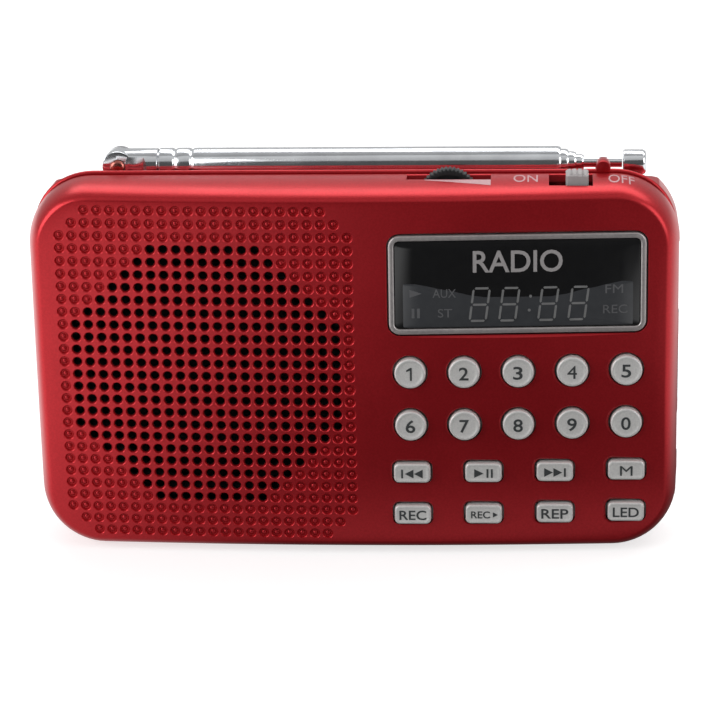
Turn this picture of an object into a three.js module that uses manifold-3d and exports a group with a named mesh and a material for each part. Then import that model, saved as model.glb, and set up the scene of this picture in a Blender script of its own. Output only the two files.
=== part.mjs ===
// Transistor pocket radio: a crowned two-piece casing with a loudspeaker, a keypad, an LED display,
// a telescopic antenna along the top of the back, and a removable flat battery behind a cover.
//
// Millimetres. x runs to the right, y runs from the crown of the front face to the back, z runs up
// from the base. The finished group is moved along y so that its origin is at the middle of the base.
import * as THREE from 'three';
import { mergeVertices } from 'three/addons/utils/BufferGeometryUtils.js';
import Module from 'manifold-3d';

const wasm = await Module();
wasm.setup();

// ---------------------------------------------------------------------------------------------
// Driving dimensions
// ---------------------------------------------------------------------------------------------

const gap = 0.3;                  // clearance between neighbouring pieces
const farAway = 40;               // reach of a cutting tool that runs right out of the casing

const bodyWidth = 119.5;
const bodyHeight = 71;
const bodyDepth = 22;
const cornerRadius = 12;
const sideWall = 1.6;
const frontWall = 1.3;
const seamDepth = 11.3;           // depth of the joint between the two shells
const crownAcross = 0.00156;      // curvature of the front face along x, per millimetre
const crownUp = 0.00245;          // curvature of the front face along z, per millimetre
const filletDepth = 11;           // the front edge is a quarter ellipse, this deep
const filletInset = 2.8;          // and this wide in the plane of the face
const midHeight = bodyHeight / 2;

const speaker = { x: -26.9, z: midHeight, radius: 24.8, front: 4.4 };
const grillePitch = 7.2;          // the grille is simplified to one slot for every third row of holes
const grilleSlot = 2.4;           // height of a slot
const grilleReach = 3;            // slots above and below the middle one
const grilleHalfWidth = 24.7;     // the slots fill an octagon
const grilleDiagonal = 34.3;      // greatest sum of a hole's distances across and up

const keyProud = 0.8;
const keyTravel = 0.5;
const keyBack = 5.2;              // depth of the back of every key's plunger
const keyFlange = 0.5;
const roundKeyRadius = 2.95;
const keySides = 12;
const wideKey = { width: 6.9, height: 3.9, radius: 1 };
const roundKeyColumns = { first: 10.6, pitch: 9.86 };
const wideKeyColumns = { first: 10.7, pitch: 13.15 };
const keyRows = { digitsUpper: 36.5, digitsLower: 26.3, wideUpper: 16.9, wideLower: 8.5 };

const membrane = { left: 5.9, right: 54.9, bottom: 6.7, top: 41.2, front: 6.0, thickness: 0.6 };
const board = { left: 1, right: 56.8, bottom: 6.9, top: 66, front: 6.9, thickness: 1.2 };
const boardBack = board.front + board.thickness;
const socketFront = boardBack + gap;

const bezel = { x: 30.2, z: 53.02, width: 46.6, height: 18.45, radius: 2, line: 1, proud: 0.25 };
const windowThickness = 1.4;
const display = { left: 11, right: 49.5, bottom: 46.5, top: 59.5, front: 4.4, back: 6.6 };

const channelFront = 14.4;        // the antenna lies in a channel along the top of the back
const channelFloor = 67.6;
const channelChamfer = 0.9;

const antenna = { y: 18, z: 71.3, pivotX: -43.7, baseEnd: -36.3, sides: 12 };
const eyelet = { radius: 2.93, thickness: 4.6 };
const tubeWall = 0.35;
const tubeRadii = [3.0, 2.5, 2.0, 1.5];
const tubeEnds = [38.1, 39.5, 40.9, 42.3];
const tubeStarts = [-36.0, -29.6, -29.2, -28.8];
const rodRadius = 0.95;
const tip = { start: 49.5, end: 53.7, radius: 2.3 };
const clip = { left: 44.5, right: 47.1, top: 73.1, backTop: 70.8, front: 12.0, slotFront: 15.2, slotBack: 20.8 };

const wheel = { x: 17.7, z: 67.1, radius: 5.5, front: 8.9, back: 10.9 };
const wheelSlot = { left: 10.1, right: 25.4, front: 8.0 };
const slider = { left: 38.95, right: 43.05, front: 6.2, back: 10.6, top: 72.15 };
const sliderSlot = { left: 35.9, right: 43.8, front: 5.5 };
const sliderTravel = 2.6;

const battery = { left: 2, right: 55, bottom: 9.5, top: 43.5, front: 14.7, back: 20.3 };
const bayWall = 1.6;
const bayFloor = 0.8;
const coverLedge = 1.1;
const coverFront = 20.5;

const usbPort = { inner: 45.5, outer: 59.45, bottom: 45.5, top: 58.6, depth: 5.7 };
const cardPort = { inner: 46, outer: 59.2, bottom: 28.5, top: 40.5, depth: 2 };
const chargePort = { inner: 50, outer: 59.3, bottom: 18, top: 25.7, depth: 3.9 };
const jack = { inner: 47.5, shoulder: 56.3, outer: 59.5, z: 12, size: 5, radius: 2.5, bore: 1.75 };

const caseScrews = [[-53, 6.5], [43.7, 4.3], [-48.6, 65], [48.6, 65]];
const caseScrew = { shank: 0.95, head: 1.9, tipDepth: 8, headFront: 19.9, headBack: 21.4 };
const boardScrews = [[3.6, 12], [3.6, 56]];
const boardScrew = { shank: 0.75, head: 1.5, tipDepth: 3.6, headThickness: 1 };

const torch = { y: 16.4, z: 50, lensRadius: 2.3, ledRadius: 1.5 };

// ---------------------------------------------------------------------------------------------
// Materials
// ---------------------------------------------------------------------------------------------

function finish(color, roughness, metalness = 0) {
  return new THREE.MeshStandardMaterial({ color, roughness, metalness });
}

const materials = {
  casing: finish(0x9c1820, 0.32, 0.3),
  keys: finish(0xb4b2ae, 0.38, 0.6),
  bezel: finish(0xa8a4a2, 0.35, 0.6),
  window: finish(0x0c0c0d, 0.08),
  display: finish(0x3a3b3d, 0.5),
  rubber: finish(0xd8d6cf, 0.85),
  board: finish(0x1f5c36, 0.55),
  steel: finish(0x9a9c9f, 0.4, 1),
  paper: finish(0x1d1c1b, 0.9),
  ferrite: finish(0x35353a, 0.6, 0.3),
  battery: finish(0x2a3f78, 0.45),
  brass: finish(0xc6a24a, 0.35, 1),
  darkPlastic: finish(0x171718, 0.5),
  chrome: finish(0xe3e6e8, 0.12, 1),
  redWire: finish(0xa81a16, 0.6),
  blackWire: finish(0x161616, 0.6),
  lens: finish(0xe6ebee, 0.1),
};

// ---------------------------------------------------------------------------------------------
// Geometry helpers
// ---------------------------------------------------------------------------------------------

// A closed solid made from a geometry, with its faces turned outwards.
function solid(geometry) {
  const bare = new THREE.BufferGeometry();
  bare.setAttribute('position', geometry.getAttribute('position'));
  bare.setIndex(geometry.getIndex());
  const merged = mergeVertices(bare, 1e-4);
  const positions = merged.getAttribute('position').array;
  const index = merged.getIndex().array;
  const corner = (i) => new THREE.Vector3().fromArray(positions, 3 * index[i]);
  const triangles = [];
  let volume = 0;
  for (let i = 0; i < index.length; i += 3) {
    const distinct = new Set([index[i], index[i + 1], index[i + 2]]);
    if (distinct.size === 3) {
      triangles.push([index[i], index[i + 1], index[i + 2]]);
      volume += corner(i).dot(corner(i + 1).cross(corner(i + 2)));
    }
  }
  const outward = volume > 0 ? triangles : triangles.map(([a, b, c]) => [a, c, b]);
  return new wasm.Manifold(new wasm.Mesh({
    numProp: 3,
    vertProperties: new Float32Array(positions),
    triVerts: new Uint32Array(outward.flat()),
  }));
}

function union(first, ...others) {
  return others.reduce((whole, other) => whole.add(other), first);
}

function cut(first, ...others) {
  return others.reduce((whole, other) => whole.subtract(other), first);
}

function box(left, right, front, back, bottom, top) {
  const geometry = new THREE.BoxGeometry(right - left, back - front, top - bottom);
  geometry.translate((left + right) / 2, (front + back) / 2, (bottom + top) / 2);
  return solid(geometry);
}

function cylinderAlongY(x, z, radius, front, back, sides = 16) {
  const geometry = new THREE.CylinderGeometry(radius, radius, back - front, sides);
  geometry.translate(x, (front + back) / 2, z);
  return solid(geometry);
}

function cylinderAlongX(y, z, radius, left, right, sides = 12) {
  const geometry = new THREE.CylinderGeometry(radius, radius, right - left, sides);
  geometry.rotateZ(Math.PI / 2);
  geometry.translate((left + right) / 2, y, z);
  return solid(geometry);
}

// A profile of [radius, y] points turned about the line through (x, z) that runs along y.
function turnedAlongY(x, z, profile, sides = 20) {
  const geometry = new THREE.LatheGeometry(profile.map(([r, y]) => new THREE.Vector2(r, y)), sides);
  geometry.translate(x, 0, z);
  return solid(geometry);
}

// A profile of [radius, x] points turned about the line through (y, z) that runs along x.
function turnedAlongX(y, z, profile, sides = 12) {
  const geometry = new THREE.LatheGeometry(profile.map(([r, x]) => new THREE.Vector2(r, -x)), sides);
  geometry.rotateZ(Math.PI / 2);
  geometry.translate(0, y, z);
  return solid(geometry);
}

// A shape drawn in x and z, extruded along y.
function prismAlongY(shape, x, z, front, back, curveSegments = 2) {
  const geometry = new THREE.ExtrudeGeometry(shape, {
    depth: back - front,
    bevelEnabled: false,
    curveSegments,
  });
  geometry.rotateX(Math.PI / 2);
  geometry.translate(x, back, z);
  return solid(geometry);
}

// A polygon of [y, z] points, extruded along x.
function prismAlongX(points, left, right) {
  const shape = new THREE.Shape(points.map(([y, z]) => new THREE.Vector2(y, z)));
  const geometry = new THREE.ExtrudeGeometry(shape, { depth: right - left, bevelEnabled: false });
  const yThenZThenX = new THREE.Matrix4().makeBasis(
    new THREE.Vector3(0, 1, 0),
    new THREE.Vector3(0, 0, 1),
    new THREE.Vector3(1, 0, 0),
  );
  geometry.applyMatrix4(yThenZThenX);
  geometry.translate(left, 0, 0);
  return solid(geometry);
}

function roundedRectangle(width, height, radius) {
  const halfWidth = width / 2 - radius;
  const halfHeight = height / 2 - radius;
  const shape = new THREE.Shape();
  shape.absarc(halfWidth, halfHeight, radius, 0, Math.PI / 2);
  shape.absarc(-halfWidth, halfHeight, radius, Math.PI / 2, Math.PI);
  shape.absarc(-halfWidth, -halfHeight, radius, Math.PI, 1.5 * Math.PI);
  shape.absarc(halfWidth, -halfHeight, radius, 1.5 * Math.PI, 2 * Math.PI);
  shape.closePath();
  return shape;
}

// A wire along a smooth curve through points.
function wire(points, radius, steps) {
  const section = new THREE.Shape();
  section.absarc(0, 0, radius, 0, 2 * Math.PI);
  const extrudePath = new THREE.CatmullRomCurve3(points.map((p) => new THREE.Vector3(...p)));
  return solid(new THREE.ExtrudeGeometry(section, { steps, curveSegments: 4, extrudePath }));
}

// How far the crowned front face lies behind its highest point.
function crown(x, z) {
  return crownAcross * x ** 2 / 2 + crownUp * (z - midHeight) ** 2 / 2;
}

// A rectangular slab that follows the crown of the front face, between two depths behind it.
function crownedSlab(x, z, width, height, front, back) {
  const cell = 8;
  const columns = Math.ceil(width / cell);
  const rows = Math.ceil(height / cell);
  const geometry = new THREE.BoxGeometry(width, back - front, height, columns, 1, rows);
  geometry.translate(x, (front + back) / 2, z);
  const position = geometry.getAttribute('position');
  for (let i = 0; i < position.count; i += 1) {
    position.setY(i, position.getY(i) + crown(position.getX(i), position.getZ(i)));
  }
  return solid(geometry);
}

// The casing's outline at an inset, as [x, z] points in order round it.
function outline(inset) {
  const cornerSteps = 5;
  const sideSteps = [5, 3, 5, 3];
  const corners = [[1, 1], [-1, 1], [-1, -1], [1, -1]];
  const arcs = corners.map(([sx, sz], quarter) => {
    const centreX = sx * (bodyWidth / 2 - cornerRadius);
    const centreZ = midHeight + sz * (midHeight - cornerRadius);
    return Array.from({ length: cornerSteps + 1 }, (_, i) => {
      const angle = (quarter + i / cornerSteps) * Math.PI / 2;
      const radius = cornerRadius - inset;
      return [centreX + radius * Math.cos(angle), centreZ + radius * Math.sin(angle)];
    });
  });
  return arcs.flatMap((arc, quarter) => {
    const [startX, startZ] = arc[cornerSteps];
    const [endX, endZ] = arcs[(quarter + 1) % 4][0];
    const steps = sideSteps[quarter];
    const side = Array.from({ length: steps - 1 }, (_, i) => {
      const t = (i + 1) / steps;
      return [startX + t * (endX - startX), startZ + t * (endZ - startZ)];
    });
    return [...arc, ...side];
  });
}

function flatRing(inset, y) {
  return outline(inset).map(([x, z]) => new THREE.Vector3(x, y, z));
}

// A solid through rings of points, listed from front to back and closed by a fan at each end.
function loft(rings) {
  const count = rings[0].length;
  const middle = (ring) => ring.reduce((sum, p) => sum.add(p), new THREE.Vector3()).divideScalar(count);
  const points = [...rings.flat(), middle(rings[0]), middle(rings[rings.length - 1])];
  const frontMiddle = points.length - 2;
  const backMiddle = points.length - 1;
  const lastRing = (rings.length - 1) * count;
  const index = [];
  for (let i = 0; i < count; i += 1) {
    const next = (i + 1) % count;
    for (let k = 0; k < lastRing; k += count) {
      index.push(k + i, k + count + i, k + next);
      index.push(k + next, k + count + i, k + count + next);
    }
    index.push(frontMiddle, i, next);
    index.push(backMiddle, lastRing + next, lastRing + i);
  }
  const geometry = new THREE.BufferGeometry().setFromPoints(points);
  geometry.setIndex(index);
  return solid(geometry);
}

// The crowned front of the casing back to a depth, at an inset from the outline and from the face.
function crownedFront(inset, behindFace, backDepth) {
  const faceOutline = outline(inset + filletInset);
  const faceRings = [0.25, 0.65].map((scale) => faceOutline.map(([x, z]) => {
    const ringX = scale * x;
    const ringZ = midHeight + scale * (z - midHeight);
    return new THREE.Vector3(ringX, behindFace + crown(ringX, ringZ), ringZ);
  }));
  const filletRings = [0, 28, 52].map((degrees) => {
    const turn = THREE.MathUtils.degToRad(degrees);
    const ringInset = inset + filletInset * (1 - Math.sin(turn));
    const depth = behindFace + filletDepth * (1 - Math.cos(turn));
    return outline(ringInset).map(([x, z]) => new THREE.Vector3(x, depth + crown(x, z) * Math.cos(turn), z));
  });
  // The last tenth of a millimetre of the ellipse is left out, so the base is flat from here back.
  const flatDepth = 8.5 + behindFace;
  return loft([...faceRings, ...filletRings, flatRing(inset, flatDepth), flatRing(inset, backDepth)]);
}

// ---------------------------------------------------------------------------------------------
// Keys
// ---------------------------------------------------------------------------------------------

const digitKeys = ['1', '2', '3', '4', '5', '6', '7', '8', '9', '0'].map((digit, i) => ({
  name: `key_${digit}`,
  x: roundKeyColumns.first + (i % 5) * roundKeyColumns.pitch,
  z: i < 5 ? keyRows.digitsUpper : keyRows.digitsLower,
}));

const wideKeyNames = [
  'key_previous', 'key_play', 'key_next', 'key_mode',
  'key_record', 'key_record_play', 'key_repeat', 'key_light',
];
const wideKeys = wideKeyNames.map((name, i) => ({
  name,
  x: wideKeyColumns.first + (i % 4) * wideKeyColumns.pitch,
  z: i < 4 ? keyRows.wideUpper : keyRows.wideLower,
}));

// Depth of a key's flange, just clear of the crowned inside of the front wall.
function flangeFront(x, z, halfWidth, halfHeight) {
  const fallOutwards = crown(x + halfWidth, midHeight + Math.abs(z - midHeight) + halfHeight);
  return fallOutwards + frontWall + 0.1;
}

function roundKey({ x, z }) {
  const face = crown(x, z) - keyProud;
  const flangeRadius = roundKeyRadius + 0.7;
  const plungerRadius = 1.6;
  const flange = flangeFront(x, z, flangeRadius, flangeRadius);
  return turnedAlongY(x, z, [
    [0, face],
    [roundKeyRadius - 0.35, face],
    [roundKeyRadius, face + 0.35],
    [roundKeyRadius, flange],
    [flangeRadius, flange],
    [flangeRadius, flange + keyFlange],
    [plungerRadius, flange + keyFlange],
    [plungerRadius, keyBack],
    [0, keyBack],
  ], keySides);
}

function wideKeyBody({ x, z }) {
  const { width, height, radius } = wideKey;
  const face = crown(x, z) - keyProud;
  const flangeWidth = width + 1.2;
  const flangeHeight = height + 0.9;
  const flange = flangeFront(x, z, flangeWidth / 2, flangeHeight / 2);
  const flangeBack = Math.min(flange + keyFlange, keyBack);
  const cap = prismAlongY(roundedRectangle(width, height, radius), x, z, face, flangeBack, 1);
  const rim = prismAlongY(roundedRectangle(flangeWidth, flangeHeight, radius), x, z, flange, flangeBack, 1)
    .intersect(crownedFront(sideWall + 0.2, frontWall + 0.1, farAway));
  const plunger = cylinderAlongY(x, z, 1.5, flange, keyBack, 8);
  return union(cap, rim, plunger);
}

function keyHoles() {
  const roundHoles = digitKeys.map(({ x, z }) => (
    cylinderAlongY(x, z, roundKeyRadius + gap, -farAway, farAway, keySides)));
  const hole = roundedRectangle(wideKey.width + 2 * gap, wideKey.height + 2 * gap, wideKey.radius + gap);
  const wideHoles = wideKeys.map(({ x, z }) => prismAlongY(hole, x, z, -farAway, farAway, 1));
  return [...roundHoles, ...wideHoles];
}

// ---------------------------------------------------------------------------------------------
// Casing
// ---------------------------------------------------------------------------------------------

function grilleSlots() {
  const slots = [];
  for (let row = -grilleReach; row <= grilleReach; row += 1) {
    const rise = row * grillePitch;
    const reach = Math.min(grilleHalfWidth, grilleDiagonal - Math.abs(rise));
    const z = speaker.z + rise;
    slots.push(box(speaker.x - reach, speaker.x + reach, -farAway, speaker.front,
      z - grilleSlot / 2, z + grilleSlot / 2));
  }
  return slots;
}

// Openings in the right-hand wall for the sockets. They cross the joint between the shells.
function sidePorts() {
  const ports = [usbPort, cardPort, chargePort].map(({ bottom, top, depth }) => (
    box(bodyWidth / 2 - 4, farAway * 2, socketFront - gap, socketFront + depth + gap, bottom - gap, top + gap)));
  const jackY = socketFront + jack.size / 2;
  return [...ports, cylinderAlongX(jackY, jack.z, jack.radius + gap, bodyWidth / 2 - 4, farAway * 2)];
}

function speakerRing() {
  const inner = speaker.radius + gap;
  return turnedAlongY(speaker.x, speaker.z, [
    [inner, frontWall],
    [inner + 1, frontWall],
    [inner + 1, speaker.front + 1],
    [inner, speaker.front + 1],
    [inner, frontWall],
  ]);
}

function frontShell() {
  const shellBack = seamDepth - gap / 2;
  const postBack = seamDepth + 0.8;
  const hollow = crownedFront(sideWall, frontWall, farAway);
  const skin = cut(crownedFront(0, 0, shellBack), hollow);
  const casePosts = caseScrews.map(([x, z]) => cylinderAlongY(x, z, 2, crown(x, z) + 0.6, postBack, 12));
  const boardPosts = boardScrews.map(([x, z]) => cylinderAlongY(x, z, 1.7, 0.9, board.front - 0.2, 10));
  const casePilots = caseScrews.map(([x, z]) => cylinderAlongY(x, z, 1.15, 7.6, farAway, 12));
  const boardPilots = boardScrews.map(([x, z]) => cylinderAlongY(x, z, 0.95, 3.2, farAway, 10));
  const ring = speakerRing().subtract(cut(
    box(-farAway * 2, farAway * 2, -farAway, seamDepth, -farAway, farAway * 2),
    crownedFront(0.5, 0.5, farAway),
  ));
  const windowOpening = roundedRectangle(bezel.width + 2 * gap, bezel.height + 2 * gap, bezel.radius + gap);
  const topOf = bodyHeight - 6;
  return cut(
    union(skin, ring, ...casePosts, ...boardPosts),
    ...casePilots,
    ...boardPilots,
    ...grilleSlots(),
    ...keyHoles(),
    prismAlongY(windowOpening, bezel.x, bezel.z, -farAway, board.front - 2, 2),
    box(wheelSlot.left, wheelSlot.right, wheelSlot.front, farAway, topOf, farAway * 2),
    box(sliderSlot.left, sliderSlot.right, sliderSlot.front, farAway, topOf, farAway * 2),
    ...sidePorts(),
  );
}

// A thin lip inside the rear shell's edge that lines up the front shell.
function seamLip() {
  const lipFront = seamDepth - 1.3;
  const lipBack = seamDepth + 1.3;
  const outer = cut(
    loft([flatRing(sideWall + gap, lipFront), flatRing(sideWall + gap, lipBack)]),
    loft([flatRing(sideWall + 1.1, lipFront - 1), flatRing(sideWall + 1.1, lipBack + 1)]),
  );
  const root = cut(
    loft([flatRing(sideWall - 0.6, seamDepth + gap / 2), flatRing(sideWall - 0.6, lipBack)]),
    loft([flatRing(sideWall + 1.1, lipFront - 1), flatRing(sideWall + 1.1, lipBack + 1)]),
  );
  const postClearances = caseScrews.map(([x, z]) => (
    cylinderAlongY(x, z, 2 + gap, lipFront - 1, lipBack + 1, 12)));
  return cut(
    union(outer, root),
    ...postClearances,
    box(wheelSlot.left - 3, caseScrews[3][0] + 4, lipFront - 1, lipBack + 1, bodyHeight - 11, bodyHeight),
  );
}

function antennaClip() {
  const halfWidth = (clip.right - clip.left) / 2;
  const middleX = (clip.left + clip.right) / 2;
  const arm = (front, back, top) => {
    const shape = new THREE.Shape();
    shape.moveTo(-halfWidth, channelFloor - 1);
    shape.lineTo(halfWidth, channelFloor - 1);
    shape.absarc(0, top - halfWidth, halfWidth, 0, Math.PI);
    shape.closePath();
    return prismAlongY(shape, middleX, 0, front, back, 3);
  };
  return union(
    arm(clip.front, clip.slotFront, clip.top),
    arm(clip.slotBack, bodyDepth, clip.backTop),
  );
}

function batteryBay() {
  const { left, right, bottom, top, front } = battery;
  const outer = bayWall + gap;
  return box(left - outer, right + outer, front - gap - bayFloor, coverFront + 0.1, bottom - outer, top + outer);
}

function batteryBayHollows() {
  const { left, right, bottom, top, front } = battery;
  const lid = coverLedge + gap;
  return [
    box(left - gap, right + gap, front - gap, farAway, bottom - gap, top + gap),
    box(left - lid, right + lid, coverFront - 0.1, farAway, bottom - lid, top + lid),
    ...terminalBlades(0.2),
  ];
}

function rearShell() {
  const channelWall = sideWall;
  const skin = loft([
    flatRing(0, seamDepth + gap / 2),
    flatRing(0, bodyDepth - 1.8),
    flatRing(0.6, bodyDepth - 0.6),
    flatRing(2, bodyDepth),
  ]);
  const hollow = cut(
    loft([flatRing(sideWall, seamDepth - 1), flatRing(sideWall, bodyDepth - sideWall)]),
    box(-farAway * 2, farAway * 2, channelFront - channelWall, farAway, channelFloor - channelWall, farAway * 2),
  );
  const channel = prismAlongX([
    [channelFront, channelFloor],
    [farAway, channelFloor],
    [farAway, farAway * 2],
    [channelFront - channelChamfer, farAway * 2],
    [channelFront - channelChamfer, bodyHeight],
    [channelFront, bodyHeight - channelChamfer],
  ], -farAway * 2, farAway * 2);
  const posts = caseScrews.map(([x, z]) => (
    cylinderAlongY(x, z, 2.4, seamDepth + 1.1, bodyDepth - sideWall + 0.2, 12)));
  const shankHoles = caseScrews.map(([x, z]) => cylinderAlongY(x, z, 1.25, seamDepth, farAway, 12));
  const headRecesses = caseScrews.map(([x, z]) => (
    cylinderAlongY(x, z, caseScrew.head + gap, caseScrew.headFront - gap, farAway, 12)));
  const torchBore = cylinderAlongX(torch.y, torch.z, torch.lensRadius + gap,
    -bodyWidth / 2 - 2, -bodyWidth / 2 + 4);
  return cut(
    union(cut(skin, hollow, channel), antennaClip(), batteryBay(), seamLip(), ...posts),
    ...batteryBayHollows(),
    ...shankHoles,
    ...headRecesses,
    ...sidePorts(),
    torchBore,
    bracketTab(gap),
  );
}

function batteryCover() {
  const { left, right, bottom, top } = battery;
  const plate = box(left - coverLedge, right + coverLedge, coverFront, bodyDepth,
    bottom - coverLedge, top + coverLedge);
  const notchX = (left + right) / 2;
  const notch = cylinderAlongX(bodyDepth + 4.3, top - 2, 5, notchX - 6, notchX + 6, 20);
  return cut(plate, notch);
}

// ---------------------------------------------------------------------------------------------
// Display
// ---------------------------------------------------------------------------------------------

function displayBezel() {
  const { x, z, width, height, radius, line, proud } = bezel;
  const flange = 0.55;
  const ledge = 1;
  const flangeFrontDepth = frontWall + 0.3;
  const flangeBackDepth = frontWall + 0.85;
  const innerWidth = width - 2 * line;
  const innerHeight = height - 2 * line;
  const ring = crownedSlab(x, z, width, height, -proud, flangeBackDepth)
    .intersect(prismAlongY(roundedRectangle(width, height, radius), x, z, -farAway, farAway));
  const back = crownedSlab(x, z, width + 2 * flange, height + 2 * flange, flangeFrontDepth, flangeBackDepth);
  const seat = crownedSlab(x, z, innerWidth, innerHeight, -farAway, windowThickness + 0.15);
  const opening = prismAlongY(
    roundedRectangle(innerWidth - 2 * ledge, innerHeight - 2 * ledge, 1), x, z, -farAway, farAway, 1);
  return cut(union(ring, back), seat, opening);
}

function displayWindow() {
  const { x, z, width, height, line } = bezel;
  const play = 0.15;
  const windowWidth = width - 2 * (line + play);
  const windowHeight = height - 2 * (line + play);
  return crownedSlab(x, z, windowWidth, windowHeight, 0, windowThickness);
}

function ledDisplay() {
  const { left, right, bottom, top, front, back } = display;
  const digitWidth = 5.6;
  const centreX = (left + right) / 2;
  const centreZ = (bottom + top) / 2 - 1;
  const wells = [-12, -6, 6, 12].map((offset) => box(
    centreX + offset - digitWidth / 2 + 0.4, centreX + offset + digitWidth / 2 - 0.4,
    front - 1, front + 0.4, centreZ - 4, centreZ + 4));
  return cut(box(left, right, front, back, bottom, top), ...wells);
}

// ---------------------------------------------------------------------------------------------
// Inside
// ---------------------------------------------------------------------------------------------

function keypadMembrane() {
  const { left, right, bottom, top, front, thickness } = membrane;
  return box(left, right, front, front + thickness, bottom, top);
}

function mainBoard() {
  const { left, right, bottom, top, front, thickness } = board;
  const edge = loft([flatRing(sideWall + 1.3, front - 2), flatRing(sideWall + 1.3, boardBack + 2)]);
  const plate = box(left, right, front, front + thickness, bottom, top).intersect(edge);
  const chips = [
    box(18, 30, boardBack - 0.1, boardBack + 1.5, 20, 32),
    box(9, 14, boardBack - 0.1, boardBack + 1.3, 13, 18),
    box(28, 34, boardBack - 0.1, boardBack + 1.3, 47, 53),
    box(37, 41, boardBack - 0.1, boardBack + 2.6, 15, 26),
    cylinderAlongY(14, 40, 2.5, boardBack - 0.1, boardBack + 4.5, 12),
    cylinderAlongY(14, 48, 2.5, boardBack - 0.1, boardBack + 4.5, 12),
  ];
  const potNotch = box(wheel.x - 5, wheel.x + 5, front - 1, boardBack + 1, top - 4.6, top + 1);
  const postNotch = box(caseScrews[3][0] - 2.4, caseScrews[3][0] + 2.4, front - 1, boardBack + 1, 62.6, top + 1);
  const screwHoles = boardScrews.map(([x, z]) => cylinderAlongY(x, z, 1.05, front - 1, boardBack + 1, 10));
  return cut(union(plate, ...chips), potNotch, postNotch, ...screwHoles);
}

function speakerFrame() {
  const { x, z, radius, front } = speaker;
  return turnedAlongY(x, z, [
    [radius, front],
    [radius, front + 0.8],
    [radius - 2, front + 0.8],
    [radius - 2.8, front + 2.2],
    [12.8, 11.3],
    [5.5, 11.3],
    [5.5, 10.5],
    [12.4, 10.5],
    [radius - 3.4, front + 1.5],
    [radius - 3, front],
    [radius, front],
  ]);
}

function speakerCone() {
  return turnedAlongY(speaker.x, speaker.z, [
    [0, 7.2],
    [5.2, 7.9],
    [6.3, 8.9],
    [18.6, 4.9],
    [19.9, 4.3],
    [21.1, 4.9],
    [21.1, 5.3],
    [19.9, 4.8],
    [18.7, 5.4],
    [6.1, 9.4],
    [4.9, 8.3],
    [0, 7.7],
  ]);
}

function speakerMagnet() {
  return turnedAlongY(speaker.x, speaker.z, [
    [0, 9.8],
    [4.6, 9.8],
    [4.6, 11.6],
    [11.5, 11.6],
    [11.5, 17],
    [0, 17],
  ]);
}

function batteryPack() {
  const { left, right, bottom, top, front, back } = battery;
  const middle = roundedRectangle(right - left, top - bottom, 3);
  return prismAlongY(middle, (left + right) / 2, (bottom + top) / 2, front, back);
}

// Spring contacts that reach through the wall of the battery bay, with some room round them.
function terminalBlades(room) {
  const middleZ = (battery.bottom + battery.top) / 2;
  return [-5, 0, 5].map((offset) => box(
    battery.left - bayWall - 2, battery.left - gap, 16.4 - room, 18.4 + room,
    middleZ + offset - 0.9 - room, middleZ + offset + 0.9 + room));
}

function batteryTerminals() {
  const middleZ = (battery.bottom + battery.top) / 2;
  const blockRight = battery.left - bayWall - gap - 0.2;
  return union(
    box(blockRight - 3, blockRight, 15, 19.8, middleZ - 7.5, middleZ + 7.5),
    ...terminalBlades(0),
  );
}

function volumeWheel() {
  const { x, z, radius, front, back } = wheel;
  const ribs = 20;
  const shape = new THREE.Shape(Array.from({ length: 2 * ribs }, (_, i) => {
    const angle = i * Math.PI / ribs;
    const reach = i % 2 === 0 ? radius : radius - 0.3;
    return new THREE.Vector2(reach * Math.cos(angle), reach * Math.sin(angle));
  }));
  return cut(prismAlongY(shape, x, z, front, back), cylinderAlongY(x, z, 1.3, front - 1, back + 1, 10));
}

function volumePot() {
  const { x, z, front, back } = wheel;
  return union(
    box(x - 4.5, x + 4.5, 7, front - 0.4, 62, 68.3),
    cylinderAlongY(x, z, 1, front - 1, back - 0.2, 10),
  );
}

function powerSlider() {
  const { left, right, front, back, top } = slider;
  const middle = (left + right) / 2;
  return union(
    box(left, right, front, back, 67, top),
    box(left - 1.9, right + 1.9, front + 0.3, back, 67, 67.8),
    box(middle - 1, middle + 1, 9.5, 10.4, 64.8, 67.2),
  );
}

function powerSwitch() {
  return cut(
    box(35, 46, socketFront, 12.4, 61, 66.6),
    box(36.8, 44, 9.1, 10.8, 64.4, farAway * 2),
  );
}

function hollowSocket(port, skin, tongue) {
  const { inner, outer, bottom, top, depth } = port;
  const back = socketFront + depth;
  return union(
    cut(
      box(inner, outer, socketFront, back, bottom, top),
      box(inner + 1, farAway * 2, socketFront + skin, back - skin, bottom + skin, top - skin),
    ),
    tongue,
  );
}

function usbSocket() {
  const { inner, outer, bottom, top, depth } = usbPort;
  const back = socketFront + depth;
  return hollowSocket(usbPort, 0.4, box(inner + 0.5, outer - 2, back - 2.2, back - 0.7, bottom + 1.2, top - 1.2));
}

function cardSocket() {
  const { inner, bottom, top } = cardPort;
  const rail = box(inner + 0.5, inner + 3, socketFront + 0.7, socketFront + 1.3, bottom + 2, top - 2);
  return hollowSocket(cardPort, 0.4, rail);
}

function chargeSocket() {
  const { inner, outer, bottom, top } = chargePort;
  const tongue = box(inner + 0.5, outer - 2, socketFront + 1.6, socketFront + 2.3, bottom + 1.8, top - 1.8);
  return hollowSocket(chargePort, 0.4, tongue);
}

function earphoneJack() {
  const y = socketFront + jack.size / 2;
  const half = jack.size / 2;
  return cut(
    union(
      box(jack.inner, jack.shoulder, y - half, y + half, jack.z - half, jack.z + half),
      cylinderAlongX(y, jack.z, jack.radius, jack.shoulder - 1, jack.outer),
    ),
    cylinderAlongX(y, jack.z, jack.bore, jack.inner + 1.5, jack.outer + 1),
  );
}

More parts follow.
